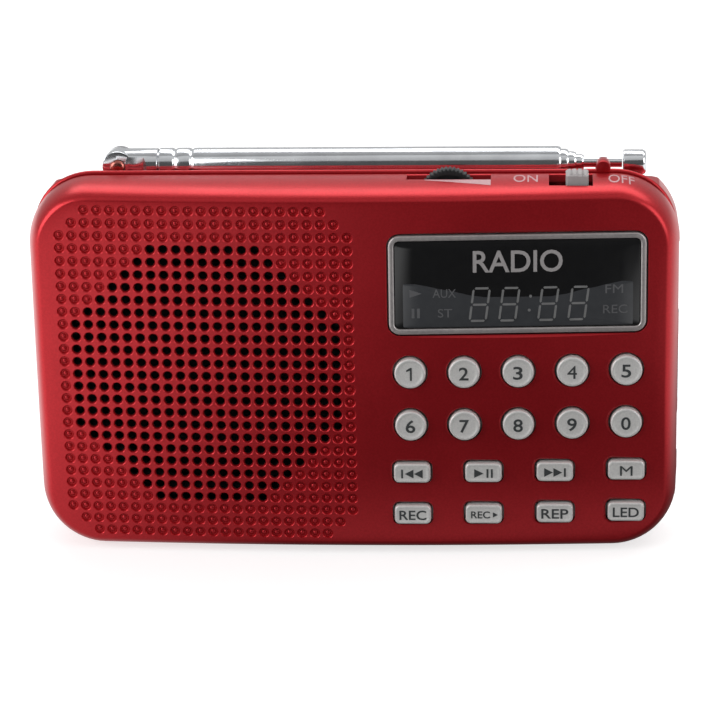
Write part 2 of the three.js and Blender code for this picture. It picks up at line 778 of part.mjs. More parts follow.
function caseScrewBody([x, z]) {
  const { shank, head, tipDepth, headFront, headBack } = caseScrew;
  const slot = box(x - 0.3, x + 0.3, headBack - 0.6, headBack + 1, z - 1.2, z + 1.2);
  const cross = union(slot, box(x - 1.2, x + 1.2, headBack - 0.6, headBack + 1, z - 0.3, z + 0.3));
  const body = turnedAlongY(x, z, [
    [0, tipDepth],
    [shank, tipDepth + 0.8],
    [shank, headFront],
    [head, headFront],
    [head, headBack - 0.3],
    [head - 0.4, headBack],
    [0, headBack],
  ], 12);
  return cut(body, cross);
}

function boardScrewBody([x, z]) {
  const { shank, head, tipDepth, headThickness } = boardScrew;
  const headFront = boardBack + 0.2;
  return turnedAlongY(x, z, [
    [0, tipDepth],
    [shank, tipDepth + 0.6],
    [shank, headFront],
    [head, headFront],
    [head, headFront + headThickness - 0.3],
    [head - 0.4, headFront + headThickness],
    [0, headFront + headThickness],
  ], 10);
}

function torchLens() {
  const outside = -bodyWidth / 2 + 0.05;
  return turnedAlongX(torch.y, torch.z, [
    [0, outside],
    [torch.lensRadius, outside],
    [torch.lensRadius, outside + 1.8],
    [torch.lensRadius + 0.7, outside + 1.8],
    [torch.lensRadius + 0.7, outside + 2.4],
    [0, outside + 2.4],
  ], 16);
}

function torchLed() {
  const start = -bodyWidth / 2 + 2.8;
  return turnedAlongX(torch.y, torch.z, [
    [0, start],
    [torch.ledRadius * 0.7, start + 0.4],
    [torch.ledRadius, start + 1.3],
    [torch.ledRadius, start + 4],
    [torch.ledRadius + 0.3, start + 4],
    [torch.ledRadius + 0.3, start + 4.7],
    [0, start + 4.7],
  ], 12);
}

function speakerLead() {
  return wire([[-9, 8.3, 24.5], [-7, 10.8, 24], [-2, 12, 22], [3, 10.8, 20], [4.5, 8.8, 20]], 0.6, 14);
}

function antennaLead() {
  return wire([
    [-40.5, 17.5, 63.2],
    [-36, 17, 61.8],
    [-24, 15, 63.6],
    [-8, 12.4, 63.6],
    [3, 11, 62.4],
    [5.5, 8.8, 61],
  ], 0.5, 22);
}

// ---------------------------------------------------------------------------------------------
// Antenna
// ---------------------------------------------------------------------------------------------

// The bracket's tab, which passes through the floor of the channel, with some room round it.
function bracketTab(room) {
  return box(-42 - room, -39 + room, 17 - room, 18 + room, 64 - room, channelFloor + 0.2);
}

function antennaBracket() {
  const { pivotX, z } = antenna;
  const armFront = 20.65;
  const armBack = 21.45;
  const armRadius = 2.6;
  const foot = { bottom: channelFloor + 0.05, top: channelFloor + 0.45 };
  const arm = new THREE.Shape();
  arm.moveTo(-armRadius, foot.bottom - z);
  arm.lineTo(armRadius, foot.bottom - z);
  arm.absarc(0, 0, armRadius, 0, Math.PI);
  arm.closePath();
  return cut(
    union(
      box(pivotX - armRadius, -36, 15.4, armBack, foot.bottom, foot.top),
      prismAlongY(arm, pivotX, z, armFront, armBack, 4),
      bracketTab(0),
    ),
    cylinderAlongY(pivotX, z, 1.1, armFront - 1, armBack + 1, 12),
  );
}

function antennaPivotPin() {
  const { pivotX, z, y } = antenna;
  const headBack = y - eyelet.thickness / 2 - 0.25;
  return turnedAlongY(pivotX, z, [
    [0, headBack - 0.65],
    [1.0, headBack - 0.65],
    [1.4, headBack - 0.3],
    [1.4, headBack],
    [0.9, headBack],
    [0.9, 21.7],
    [1.3, 21.7],
    [1.3, bodyDepth],
    [0, bodyDepth],
  ], 12);
}

function antennaBase() {
  const { pivotX, baseEnd, y, z, sides } = antenna;
  const round = cylinderAlongX(y, z, eyelet.radius, pivotX, baseEnd, sides);
  const front = y - eyelet.thickness / 2;
  const back = y + eyelet.thickness / 2;
  const ear = cylinderAlongY(pivotX, z, eyelet.radius, front, back, 20);
  const flats = box(pivotX - 4, baseEnd - 2, front, back, z - 4, z + 4);
  const neck = box(baseEnd - 2.01, baseEnd, y - 4, y + 4, z - 4, z + 4);
  const spigot = cylinderAlongX(y, z, tubeRadii[0] - tubeWall - 0.3, baseEnd - 0.5, -30, sides);
  return cut(
    union(ear, round.intersect(union(flats, neck)), spigot),
    cylinderAlongY(pivotX, z, 1.2, front - 1, back + 1, 12),
  );
}

function antennaTube(stage) {
  const { y, z, sides } = antenna;
  const outer = tubeRadii[stage];
  const inner = outer - tubeWall;
  const start = tubeStarts[stage];
  const end = tubeEnds[stage];
  return turnedAlongX(y, z, [
    [inner, start],
    [outer, start],
    [outer, end],
    [inner, end],
    [inner, start],
  ], sides);
}

function antennaRod() {
  return cylinderAlongX(antenna.y, antenna.z, rodRadius, -28.4, tip.start - 0.2, antenna.sides);
}

function antennaTip() {
  const { start, end, radius } = tip;
  return turnedAlongX(antenna.y, antenna.z, [
    [0, start],
    [radius - 0.3, start],
    [radius, start + 0.3],
    [radius, end - 0.4],
    [radius - 0.4, end],
    [0, end],
  ], antenna.sides);
}

// ---------------------------------------------------------------------------------------------
// Assembly
// ---------------------------------------------------------------------------------------------

const radio = new THREE.Group();
radio.name = 'pocket_radio';

function add(name, body, material) {
  const { vertProperties, triVerts, numProp } = body.getMesh();
  const geometry = new THREE.BufferGeometry();
  const positions = new THREE.InterleavedBuffer(vertProperties, numProp);
  geometry.setAttribute('position', new THREE.InterleavedBufferAttribute(positions, 3, 0));
  geometry.setIndex(new THREE.BufferAttribute(triVerts, 1));
  const mesh = new THREE.Mesh(geometry, material);
  mesh.name = name;
  radio.add(mesh);
}

add('front_shell', frontShell(), materials.casing);
add('rear_shell', rearShell(), materials.casing);
add('battery_cover', batteryCover(), materials.casing);
add('display_bezel', displayBezel(), materials.bezel);
add('display_window', displayWindow(), materials.window);
add('led_display', ledDisplay(), materials.display);
digitKeys.forEach((key) => add(key.name, roundKey(key), materials.keys));
wideKeys.forEach((key) => add(key.name, wideKeyBody(key), materials.keys));
add('keypad_membrane', keypadMembrane(), materials.rubber);
add('main_board', mainBoard(), materials.board);
add('speaker_frame', speakerFrame(), materials.steel);
add('speaker_cone', speakerCone(), materials.paper);
add('speaker_magnet', speakerMagnet(), materials.ferrite);
add('battery', batteryPack(), materials.battery);
add('battery_terminals', batteryTerminals(), materials.brass);
add('volume_wheel', volumeWheel(), materials.darkPlastic);
add('volume_pot', volumePot(), materials.darkPlastic);
add('power_slider', powerSlider(), materials.keys);
add('power_switch', powerSwitch(), materials.steel);
add('usb_socket', usbSocket(), materials.steel);
add('card_socket', cardSocket(), materials.steel);
add('charge_socket', chargeSocket(), materials.steel);
add('earphone_jack', earphoneJack(), materials.darkPlastic);
add('antenna_bracket', antennaBracket(), materials.steel);
add('antenna_pivot_pin', antennaPivotPin(), materials.steel);
add('antenna_base', antennaBase(), materials.chrome);
tubeRadii.forEach((_, stage) => add(`antenna_tube_${stage + 1}`, antennaTube(stage), materials.chrome));
add('antenna_rod', antennaRod(), materials.chrome);
add('antenna_tip', antennaTip(), materials.chrome);
add('torch_lens', torchLens(), materials.lens);
add('torch_led', torchLed(), materials.lens);
caseScrews.forEach((place, i) => add(`case_screw_${i + 1}`, caseScrewBody(place), materials.steel));
boardScrews.forEach((place, i) => add(`board_screw_${i + 1}`, boardScrewBody(place), materials.steel));
add('speaker_lead', speakerLead(), materials.redWire);
add('antenna_lead', antennaLead(), materials.blackWire);

// The foremost point is the face of the digit key nearest the middle of the crown.
const foremost = crown(digitKeys[0].x, digitKeys[0].z) - keyProud;
radio.position.y = -(foremost + bodyDepth) / 2;

export default radio;
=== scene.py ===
"""Pocket radio: the visual model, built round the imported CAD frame.

The shapes are worked out in millimetres in the casing's own frame: x runs to the right, y from the crown
of the front face to the back, and z up from the base. A finished piece is then put into the row frame.
"""

import itertools
import math

import bmesh
import bpy
import numpy as np
from mathutils import Matrix, Vector
from mathutils.bvhtree import BVHTree
from mathutils.interpolate import poly_3d_calc


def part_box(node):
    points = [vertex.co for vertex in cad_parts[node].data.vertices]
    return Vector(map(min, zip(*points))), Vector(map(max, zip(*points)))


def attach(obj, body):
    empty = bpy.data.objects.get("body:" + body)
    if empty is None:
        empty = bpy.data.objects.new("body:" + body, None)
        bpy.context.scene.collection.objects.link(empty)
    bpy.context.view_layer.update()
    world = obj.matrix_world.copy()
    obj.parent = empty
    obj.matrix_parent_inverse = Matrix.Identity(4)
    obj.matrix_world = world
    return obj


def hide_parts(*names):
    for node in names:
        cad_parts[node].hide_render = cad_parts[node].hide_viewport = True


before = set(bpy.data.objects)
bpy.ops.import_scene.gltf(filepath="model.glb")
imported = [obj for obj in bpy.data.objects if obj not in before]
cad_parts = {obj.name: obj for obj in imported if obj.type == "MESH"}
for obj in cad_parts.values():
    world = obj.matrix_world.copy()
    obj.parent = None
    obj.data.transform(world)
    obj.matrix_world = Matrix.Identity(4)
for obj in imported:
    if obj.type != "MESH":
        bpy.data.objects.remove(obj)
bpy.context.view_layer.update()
scene = bpy.context.scene

# ==== Camera ====

CAMERA_PLACE = Vector((0.03596, -0.51914, 0.2125))
CAMERA_FORWARD = Vector((-0.064, 0.9445, -0.3223)).normalized()
CAMERA_UP = Vector((-0.0002, 0.3229, 0.9464))

camera = bpy.data.objects.new("camera", bpy.data.cameras.new("camera"))
camera.data.lens = 147.5
camera.data.sensor_width = 36
camera.data.clip_start = 0.01
camera_right = CAMERA_FORWARD.cross(CAMERA_UP).normalized()
camera_axes = Matrix((camera_right, camera_right.cross(CAMERA_FORWARD), -CAMERA_FORWARD)).transposed()
camera.matrix_world = Matrix.Translation(CAMERA_PLACE) @ camera_axes.to_4x4()
scene.collection.objects.link(camera)
scene.camera = camera

# ==== Driving dimensions, the same as the CAD part's, in millimetres ====

MM = 0.001
DEPTH = 22
ORIGIN_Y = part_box("rear_shell")[1].y - DEPTH * MM
HALF_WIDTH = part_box("front_shell")[1].x / MM
HEIGHT = 71
MID_HEIGHT = HEIGHT / 2
CORNER = 12
SIDE_WALL = 1.6
FRONT_WALL = 1.3
SEAM = 11.3
SEAM_HALF_GAP = 0.15
CROWN_ACROSS = 0.00156
CROWN_UP = 0.00245
FILLET_DEPTH = 11
FILLET_INSET = 2.8
GAP = 0.3
FAR = 40
# faces deeper than this under the outer skin turn near black: bare moulding and painted shade
LACQUER_REACH = 0.8
SMOOTH_DEGREES = 32

SPEAKER_X, SPEAKER_Z, SPEAKER_RADIUS, SPEAKER_FRONT = -26.9, MID_HEIGHT, 24.8, 4.4
HOLE_PITCH = 2.4

KEY_PROUD = 0.8
KEY_BACK = 5.2
KEY_RADIUS = 2.95
WIDE_KEY = (6.9, 3.9, 1.0)
DIGIT_COLUMNS = (10.6, 9.86)
WIDE_COLUMNS = (10.7, 13.15)
KEY_ROWS = (36.5, 26.3, 16.9, 8.5)

BEZEL_X, BEZEL_Z = 30.2, 53.02
BEZEL_WIDTH, BEZEL_HEIGHT = 46.6, 18.45
BEZEL_SIZE = (BEZEL_WIDTH, BEZEL_HEIGHT, 2.0)                 # with the radius of its corners
SCREEN = (9.5, 51.1, 45.1, 53.3)                              # left, right, bottom and top

CHANNEL_FRONT, CHANNEL_FLOOR = 14.4, 67.6
CLIP_X, CLIP_HALF_WIDTH = 45.8, 1.3
CLIP_ARMS = [(12.0, 15.2, 73.1), (20.8, 22.0, 70.8)]          # front, back and top of each
ANTENNA_Y, ANTENNA_Z, PIVOT_X, BASE_END = 18, 71.3, -43.7, -36.3
TUBE_WALL = 0.35
TUBES = [(3.0, -36.0, 38.1), (2.5, -29.6, 39.5), (2.0, -29.2, 40.9), (1.5, -28.8, 42.3)]  # radius, ends
CRIMPS = (-33.1, -29.95)
ROD_RADIUS = 0.95
TIP_START, TIP_END, TIP_RADIUS = 49.5, 53.7, 2.3

WHEEL_X, WHEEL_Z, WHEEL_RADIUS, WHEEL_FRONT, WHEEL_BACK = 17.7, 67.1, 5.5, 8.9, 10.9
WHEEL_SLOT = (10.1, 25.4, 8.0)                                # left, right and front
SLIDER_SLOT = (35.9, 43.8, 5.5)

BATTERY = (2, 55, 9.5, 43.5)                                  # left, right, bottom and top of its bay
COVER_FRONT = 20.5
CASE_SCREWS = [(-53, 6.5), (43.7, 4.3), (-48.6, 65), (48.6, 65)]
BOARD_SCREWS = [(3.6, 12), (3.6, 56)]
TORCH_Y, TORCH_Z, TORCH_RADIUS = 16.4, 50, 2.3
BOARD_BACK = 8.1
SIDE_SOCKETS = [(45.5, 58.6, 5.7), (28.5, 40.5, 2), (18, 25.7, 3.9)]      # bottom, top and depth of each
JACK_Y, JACK_Z = BOARD_BACK + GAP + 2.5, 12

# ==== Solids: each is a pair of points and faces, in millimetres ====


def loft(rings, closed=False):
    """A solid through rings of points; a fan closes each end, or the last ring meets the first."""
    count = len(rings[0])
    points = [tuple(p) for ring in rings for p in ring]
    faces = []
    spans = len(rings) if closed else len(rings) - 1
    for k in range(spans):
        a, b = k * count, (k + 1) % len(rings) * count
        for i in range(count):
            j = (i + 1) % count
            faces.append((a + i, b + i, b + j, a + j))
    if not closed:
        for ring, start in ((rings[0], 0), (rings[-1], (len(rings) - 1) * count)):
            points.append(tuple(np.mean(np.array(ring), axis=0)))
            middle = len(points) - 1
            faces.extend((middle, start + i, start + (i + 1) % count) for i in range(count))
    return points, faces


def join(solids):
    points, faces = [], []
    for more_points, more_faces in solids:
        start = len(points)
        points.extend(more_points)
        faces.extend(tuple(start + i for i in face) for face in more_faces)
    return points, faces


def block(left, right, front, back, bottom, top, soften=0.0):
    """A box; soften rounds all its edges with a small chamfer."""
    s = soften
    levels = [(bottom, s), (bottom + s, 0), (top - s, 0), (top, s)] if s else [(bottom, 0), (top, 0)]
    rings = []
    for z, inset in levels:
        x0, x1, y0, y1 = left + inset, right - inset, front + inset, back - inset
        ring = [(x0, y0), (x1, y0), (x1, y1), (x0, y1)]
        if s:
            ring = [(x0 + s, y0), (x1 - s, y0), (x1, y0 + s), (x1, y1 - s), (x1 - s, y1), (x0 + s, y1),
                    (x0, y1 - s), (x0, y0 + s)]
        rings.append([(x, y, z) for x, y in ring])
    return loft(rings)


def turned_y(x, z, profile, sides=32):
    """A profile of (radius, y) turned about a line along y; it starts and ends on the axis or closes."""
    angles = [2 * math.pi * i / sides for i in range(sides)]
    on_axis = profile[0][0] == 0
    inner = profile[1:-1] if on_axis else profile
    rings = [[(x + r * math.cos(a), y, z + r * math.sin(a)) for a in angles] for r, y in inner]
    points, faces = loft(rings, closed=not on_axis)
    if on_axis:
        points[-2] = (x, profile[0][1], z)
        points[-1] = (x, profile[-1][1], z)
    return points, faces


def turned_x(y, z, profile, sides=32):
    """A profile of (radius, x) turned about a line along x."""
    points, faces = turned_y(0, 0, profile, sides)
    return [(py, y + px, z + pz) for px, py, pz in points], faces


def rod_y(x, z, radius, front, back, sides=24):
    return turned_y(x, z, [(0, front), (radius, front), (radius, back), (0, back)], sides)


def rod_x(y, z, radius, left, right, sides=32):
    return turned_x(y, z, [(0, left), (radius, left), (radius, right), (0, right)], sides)


def corner_arcs(x, z, width, height, radius, steps):
    """The rounded corners of a rectangle, as four lists of (x, z) points in order round it."""
    arcs = []
    for quarter, (side, end) in enumerate(((1, 1), (-1, 1), (-1, -1), (1, -1))):
        centre_x, centre_z = x + side * (width / 2 - radius), z + end * (height / 2 - radius)
        angles = [(quarter + i / steps) * math.pi / 2 for i in range(steps + 1)]
        arcs.append([(centre_x + radius * math.cos(a), centre_z + radius * math.sin(a)) for a in angles])
    return arcs


def rounded_rectangle(x, z, width, height, radius, steps=6):
    return sum(corner_arcs(x, z, width, height, radius, steps), [])


def inset_rings(x, z, size, levels, steps=6, shrink=1.0, least=0.02, on_crown=False):
    """Rounded rectangles of a (width, height, radius), one for each (inset, depth) level.
    Shrink is the share of the inset that comes off the radius, down to the least one."""
    width, height, radius = size
    rings = []
    for inset, depth in levels:
        rounding = max(radius - shrink * inset, least)
        rect = rounded_rectangle(x, z, width - 2 * inset, height - 2 * inset, rounding, steps)
        rings.append([(px, depth + (crown(px, pz) if on_crown else 0), pz) for px, pz in rect])
    return rings


def crown(x, z):
    return CROWN_ACROSS * x ** 2 / 2 + CROWN_UP * (z - MID_HEIGHT) ** 2 / 2


def outline(inset, corner_steps=16, long_steps=24, short_steps=12):
    """The casing's outline at an inset, as (x, z) points in order round it."""
    width, height = 2 * (HALF_WIDTH - inset), HEIGHT - 2 * inset
    arcs = corner_arcs(0, MID_HEIGHT, width, height, CORNER - inset, corner_steps)
    ring = []
    for quarter, arc in enumerate(arcs):
        (start_x, start_z), (end_x, end_z) = arc[-1], arcs[(quarter + 1) % 4][0]
        steps = (long_steps, short_steps)[quarter % 2]
        along = [i / steps for i in range(1, steps)]
        ring += arc + [(start_x + t * (end_x - start_x), start_z + t * (end_z - start_z)) for t in along]
    return ring


def flat_ring(inset, y):
    return [(x, y, z) for x, z in outline(inset)]


def face_rings(inset, behind, scales):
    """Rings of the crowned face, from near its middle out to the start of its rounded edge."""
    edge = outline(inset + FILLET_INSET)
    rings = []
    for scale in scales:
        ring = [(scale * x, MID_HEIGHT + scale * (z - MID_HEIGHT)) for x, z in edge]
        rings.append([(x, behind + crown(x, z), z) for x, z in ring])
    return rings


def fillet_ring(inset, behind, degrees):
    turn = math.radians(degrees)
    depth = behind + FILLET_DEPTH * (1 - math.cos(turn))
    ring = outline(inset + FILLET_INSET * (1 - math.sin(turn)))
    return [(x, depth + crown(x, z) * math.cos(turn), z) for x, z in ring]


# ==== From solids to pieces ====


def make_object(name, shape):
    """An object, still in millimetres, with its faces pointing out."""
    mesh = bpy.data.meshes.new(name)
    mesh.from_pydata(shape[0], [], shape[1])
    work = bmesh.new()
    work.from_mesh(mesh)
    bmesh.ops.recalc_face_normals(work, faces=work.faces)
    work.to_mesh(mesh)
    work.free()
    obj = bpy.data.objects.new(name, mesh)
    scene.collection.objects.link(obj)
    return obj


def apply_modifiers(obj):
    bpy.context.view_layer.update()
    evaluated = obj.evaluated_get(bpy.context.evaluated_depsgraph_get())
    mesh = bpy.data.meshes.new_from_object(evaluated)
    obj.modifiers.clear()
    obj.data = mesh


def combine(obj, operation, tools):
    """Joins the tools to obj or cuts them from it, one after another."""
    helpers = []
    for i, tool in enumerate(tools):
        helper = make_object(f"tool_{i}", tool)
        helper.hide_render = True
        modifier = obj.modifiers.new(f"boolean_{i}", "BOOLEAN")
        modifier.operation = operation
        modifier.solver = "MANIFOLD"
        modifier.object = helper
        helpers.append(helper)
    apply_modifiers(obj)
    for helper in helpers:
        bpy.data.objects.remove(helper)


def carved(shape, operation, tools):
    """A solid after one boolean, given back as points and faces."""
    obj = make_object("carved", shape)
    combine(obj, operation, tools)
    result = [tuple(v.co) for v in obj.data.vertices], [tuple(f.vertices) for f in obj.data.polygons]
    bpy.data.objects.remove(obj)
    return result


class Surface:
    """A smooth reference surface: finds depths on it and lends its normals to pieces cut from it."""

    def __init__(self, shape):
        obj = make_object("reference", shape)
        mesh = obj.data
        mesh.calc_loop_triangles()
        self.points = [v.co.copy() for v in mesh.vertices]
        self.normals = [n.vector.copy() for n in mesh.vertex_normals]
        self.triangles = [tuple(t.vertices) for t in mesh.loop_triangles]
        self.tree = BVHTree.FromPolygons(self.points, self.triangles)
        bpy.data.objects.remove(obj)

    def normal(self, index, place):
        corners = self.triangles[index]
        weights = poly_3d_calc([self.points[i] for i in corners], place)
        return sum((w * self.normals[i] for w, i in zip(weights, corners)), Vector()).normalized()

    def lend_normals(self, mesh, reach=0.03, limit=0.9):
        near = {}
        for vertex in mesh.vertices:
            place, _, index, distance = self.tree.find_nearest(vertex.co)
            if distance < reach:
                near[vertex.index] = self.normal(index, place)
        custom = [(0.0, 0.0, 0.0)] * len(mesh.loops)
        for face in mesh.polygons:
            corners = [near.get(i) for i in face.vertices]
            if all(n is not None and n.dot(face.normal) > limit for n in corners):
                for loop, n in zip(face.loop_indices, corners):
                    custom[loop] = tuple(n)
        mesh.normals_split_custom_set(custom)

    def paint(self, mesh, skip):
        """Gives the second, near-black material to faces that lie deeper than the lacquer reaches: the bare
        moulding, and painted shade down the holes and in the recesses.
        """
        for face in mesh.polygons:
            deep = self.tree.find_nearest(face.center)[3] > LACQUER_REACH
            face.material_index = 1 if deep and not skip(face.center) else 0

    def height(self, x, y):
        return self.tree.ray_cast(Vector((x, y, 2 * HEIGHT)), Vector((0, 0, -1)))[0].z


def finish_piece(obj, name, body, materials, replaces=(), surface=None,
                 keep_lacquer=lambda place: False):
    """Shades a piece, moves it into the row frame, and hangs it on its body."""
    obj.name = name
    mesh = obj.data
    mesh.name = name
    mesh.materials.clear()
    for material in materials:
        mesh.materials.append(material)
    mesh.shade_smooth()
    mesh.set_sharp_from_angle(angle=math.radians(SMOOTH_DEGREES))
    if surface:
        surface.lend_normals(mesh)
        surface.paint(mesh, keep_lacquer)
    mesh.transform(Matrix.Translation((0, ORIGIN_Y, 0)) @ Matrix.Scale(MM, 4))
    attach(obj, body)
    if replaces:
        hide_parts(*replaces)
    return obj


def piece(name, shape, body, material, replaces=(), add=(), cut=()):
    """A piece made from one solid, once others have been joined to it and others cut from it."""
    obj = make_object(name, shape)
    for operation, tools in (("UNION", add), ("DIFFERENCE", cut)):
        if tools:
            combine(obj, operation, tools)
    return finish_piece(obj, name, body, [material], replaces)


# ==== Materials ====


def map_range(nodes, links, value, spans, smooth=False):
    """Spans are From Min, From Max, To Min and To Max."""
    node = nodes.new("ShaderNodeMapRange")
    node.interpolation_type = "SMOOTHSTEP" if smooth else "LINEAR"
    for socket, number in zip(("From Min", "From Max", "To Min", "To Max"), spans):
        node.inputs[socket].default_value = number
    links.new(value, node.inputs["Value"])
    return node.outputs["Result"]


class Finish:
    """A Principled material with helpers for the noise that varies its colour, gloss and relief."""

    def __init__(self, name, color, roughness, metallic=0.0, **sockets):
        self.material = bpy.data.materials.new(name)
        self.material.use_nodes = True
        self.nodes = self.material.node_tree.nodes
        self.links = self.material.node_tree.links
        self.shader = self.nodes["Principled BSDF"]
        self.color = color
        self.shader.inputs["Base Color"].default_value = (*color, 1)
        self.shader.inputs["Roughness"].default_value = roughness
        self.shader.inputs["Metallic"].default_value = metallic
        for socket, value in sockets.items():
            self.shader.inputs[socket.replace("_", " ")].default_value = value
        self.place = self.nodes.new("ShaderNodeTexCoord").outputs["Object"]

    def noise(self, per_metre, detail=3.0, stretch=None):
        source = self.place
        if stretch:
            mapping = self.nodes.new("ShaderNodeMapping")
            mapping.inputs["Scale"].default_value = stretch
            self.links.new(source, mapping.inputs["Vector"])
            source = mapping.outputs["Vector"]
        noise = self.nodes.new("ShaderNodeTexNoise")
        noise.inputs["Scale"].default_value = per_metre
        noise.inputs["Detail"].default_value = detail
        self.links.new(source, noise.inputs["Vector"])
        return noise.outputs["Fac"]

    def spread(self, factor, low, high, start=0.3, end=0.7):
        return map_range(self.nodes, self.links, factor, (start, end, low, high))

    def vary_roughness(self, factor, low, high):
        self.links.new(self.spread(factor, low, high), self.shader.inputs["Roughness"])
        return self

    def vary_color(self, factor, other, start=0.35, end=0.65):
        mix = self.nodes.new("ShaderNodeMix")
        mix.data_type = "RGBA"
        mix.inputs["A"].default_value = (*self.color, 1)
        mix.inputs["B"].default_value = (*other, 1)
        self.links.new(self.spread(factor, 0, 1, start, end), mix.inputs["Factor"])
        self.links.new(mix.outputs["Result"], self.shader.inputs["Base Color"])
        return self

    def bump(self, factor, height_mm, strength=1.0):
        node = self.nodes.new("ShaderNodeBump")
        node.inputs["Strength"].default_value = strength
        node.inputs["Distance"].default_value = height_mm * MM
        self.links.new(factor, node.inputs["Height"])
        previous = self.shader.inputs["Normal"].links
        if previous:
            self.links.new(previous[0].from_socket, node.inputs["Normal"])
        self.links.new(node.outputs["Normal"], self.shader.inputs["Normal"])
        return self


def coated(name, color, other, metallic, grain, gloss, relief, **sockets):
    """A finish flecked with another colour. Grain and gloss are the noise of its colour and roughness,
    the latter with the range; relief lists the noise and the height in millimetres of each bump."""
    look = Finish(name, color, gloss[2], metallic, **sockets)
    look.vary_color(look.noise(*grain), other)
    look.vary_roughness(look.noise(*gloss[:2]), *gloss[2:])
    for per_metre, detail, height_mm in relief:
        look.bump(look.noise(per_metre, detail), height_mm)
    return look.material


def glossy(name, color, other, roughness=0.12):
    """Printing or plastic with a clear glossy face."""
    return coated(name, color, other, 0.0, (700, 3), (120, 4, roughness * 0.85, roughness * 1.3), [])


def moulded(name, color, roughness, relief=0.004, grain=3000):
    gloss = (600, 3, roughness * 0.85, min(1.0, roughness * 1.15))
    return coated(name, color, tuple(0.8 * c for c in color), 0.0, (240, 4), gloss, [(grain, 3, relief)])


def ink(name, color, roughness=0.55):
    look = Finish(name, color, roughness)
    look.vary_color(look.noise(6000, 3), tuple(0.8 * c for c in color))
    look.bump(look.noise(8000, 2), 0.0015)
    return look.material


def metal(name, color, roughness, brushed=None, relief=0.0008):
    """Plated or bare metal; brushed is the stretch of its grain."""
    look = Finish(name, color, roughness, 1.0)
    grain = look.noise(900, 4, brushed or (1, 1, 1))
    look.vary_roughness(grain, roughness * 0.75, roughness * 1.35)
    look.vary_color(look.noise(160, 4), tuple(0.86 * c for c in color))
    look.bump(grain, relief)
    return look.material


def circuit_board():
    """Green solder mask over copper tracks laid out in a fine pattern of cells."""
    look = Finish("board_green", (0.02, 0.10, 0.035), 0.38)
    cells = look.nodes.new("ShaderNodeTexVoronoi")
    cells.distance = "CHEBYCHEV"
    cells.feature = "DISTANCE_TO_EDGE"
    cells.inputs["Scale"].default_value = 420
    look.links.new(look.place, cells.inputs["Vector"])
    look.vary_color(cells.outputs["Distance"], (0.035, 0.16, 0.06), 0.02, 0.06)
    look.bump(cells.outputs["Distance"], 0.02, 0.4)
    return look.material


def cone_paper():
    look = Finish("cone_paper", (0.012, 0.011, 0.011), 0.85)
    look.vary_color(look.noise(1400, 5), (0.022, 0.02, 0.019))
    look.bump(look.noise(2400, 5), 0.03)
    return look.material


def battery_wrap():
    look = Finish("battery_wrap", (0.02, 0.06, 0.26), 0.3, 0.0, Coat_Weight=0.4)
    look.vary_color(look.noise(180, 3, (1, 0.2, 5)), (0.03, 0.08, 0.32))
    look.bump(look.noise(260, 3, (0.3, 1, 1)), 0.03)
    return look.material


def clear_plastic(name, tint):
    look = Finish(name, tint, 0.08, 0.0, Transmission_Weight=0.85)
    look.vary_roughness(look.noise(200, 3), 0.05, 0.12)
    return look.material


# Metallic red lacquer over moulded plastic: fine flake, a soft orange peel, and faint scuffs.
CASING = coated("casing_red", (0.49, 0.014, 0.021), (0.43, 0.011, 0.017), 0.7, (2600, 2), (90, 4, 0.31, 0.38),
                [(420, 2, 0.006), (5200, 1, 0.0012)], Coat_Weight=0.16, Coat_Roughness=0.2)
# Near black on every face deeper than the lacquer reaches: the black moulding under the lacquer, and also
# painted shade down the grille holes, in the recesses and through the inside of the casing.
BARE_AND_SHADE = coated("bare_plastic_and_painted_shade", (0.007, 0.006, 0.006), (0.007, 0.006, 0.006), 0.0, (400, 3),
              (400, 3, 0.5, 0.68), [(2500, 2, 0.004)])
KEY = coated("key_silver", (0.72, 0.71, 0.69), (0.65, 0.64, 0.63), 0.25, (3200, 2), (300, 4, 0.36, 0.46),
             [(3000, 2, 0.0015)])
BEZEL = coated("bezel_silver", (0.46, 0.43, 0.42), (0.40, 0.37, 0.37), 0.6, (1800, 2), (300, 4, 0.3, 0.42),
               [(2600, 2, 0.001)])
SLIDER = moulded("slider_grey", (0.42, 0.39, 0.39), 0.4, 0.003)
WINDOW = glossy("window_black", (0.0085, 0.0085, 0.009), (0.007, 0.007, 0.0075))
SCREEN_GREY = glossy("screen_grey", (0.046, 0.048, 0.052), (0.041, 0.043, 0.047), 0.2)
SEGMENT_GREY = glossy("segment_grey", (0.19, 0.19, 0.19), (0.16, 0.16, 0.16), 0.3)
WORD_GREY = glossy("word_grey", (0.115, 0.115, 0.12), (0.10, 0.10, 0.105), 0.3)
TITLE_INK = ink("title_ink", (0.36, 0.34, 0.34), 0.4)
KEY_INK = ink("key_ink", (0.045, 0.05, 0.052))
TOP_INK = ink("top_ink", (0.62, 0.36, 0.38), 0.45)
BLACK = moulded("black_plastic", (0.010, 0.010, 0.011), 0.42)
RUBBER = moulded("keypad_rubber", (0.42, 0.40, 0.36), 0.8, 0.006)
BOARD = circuit_board()
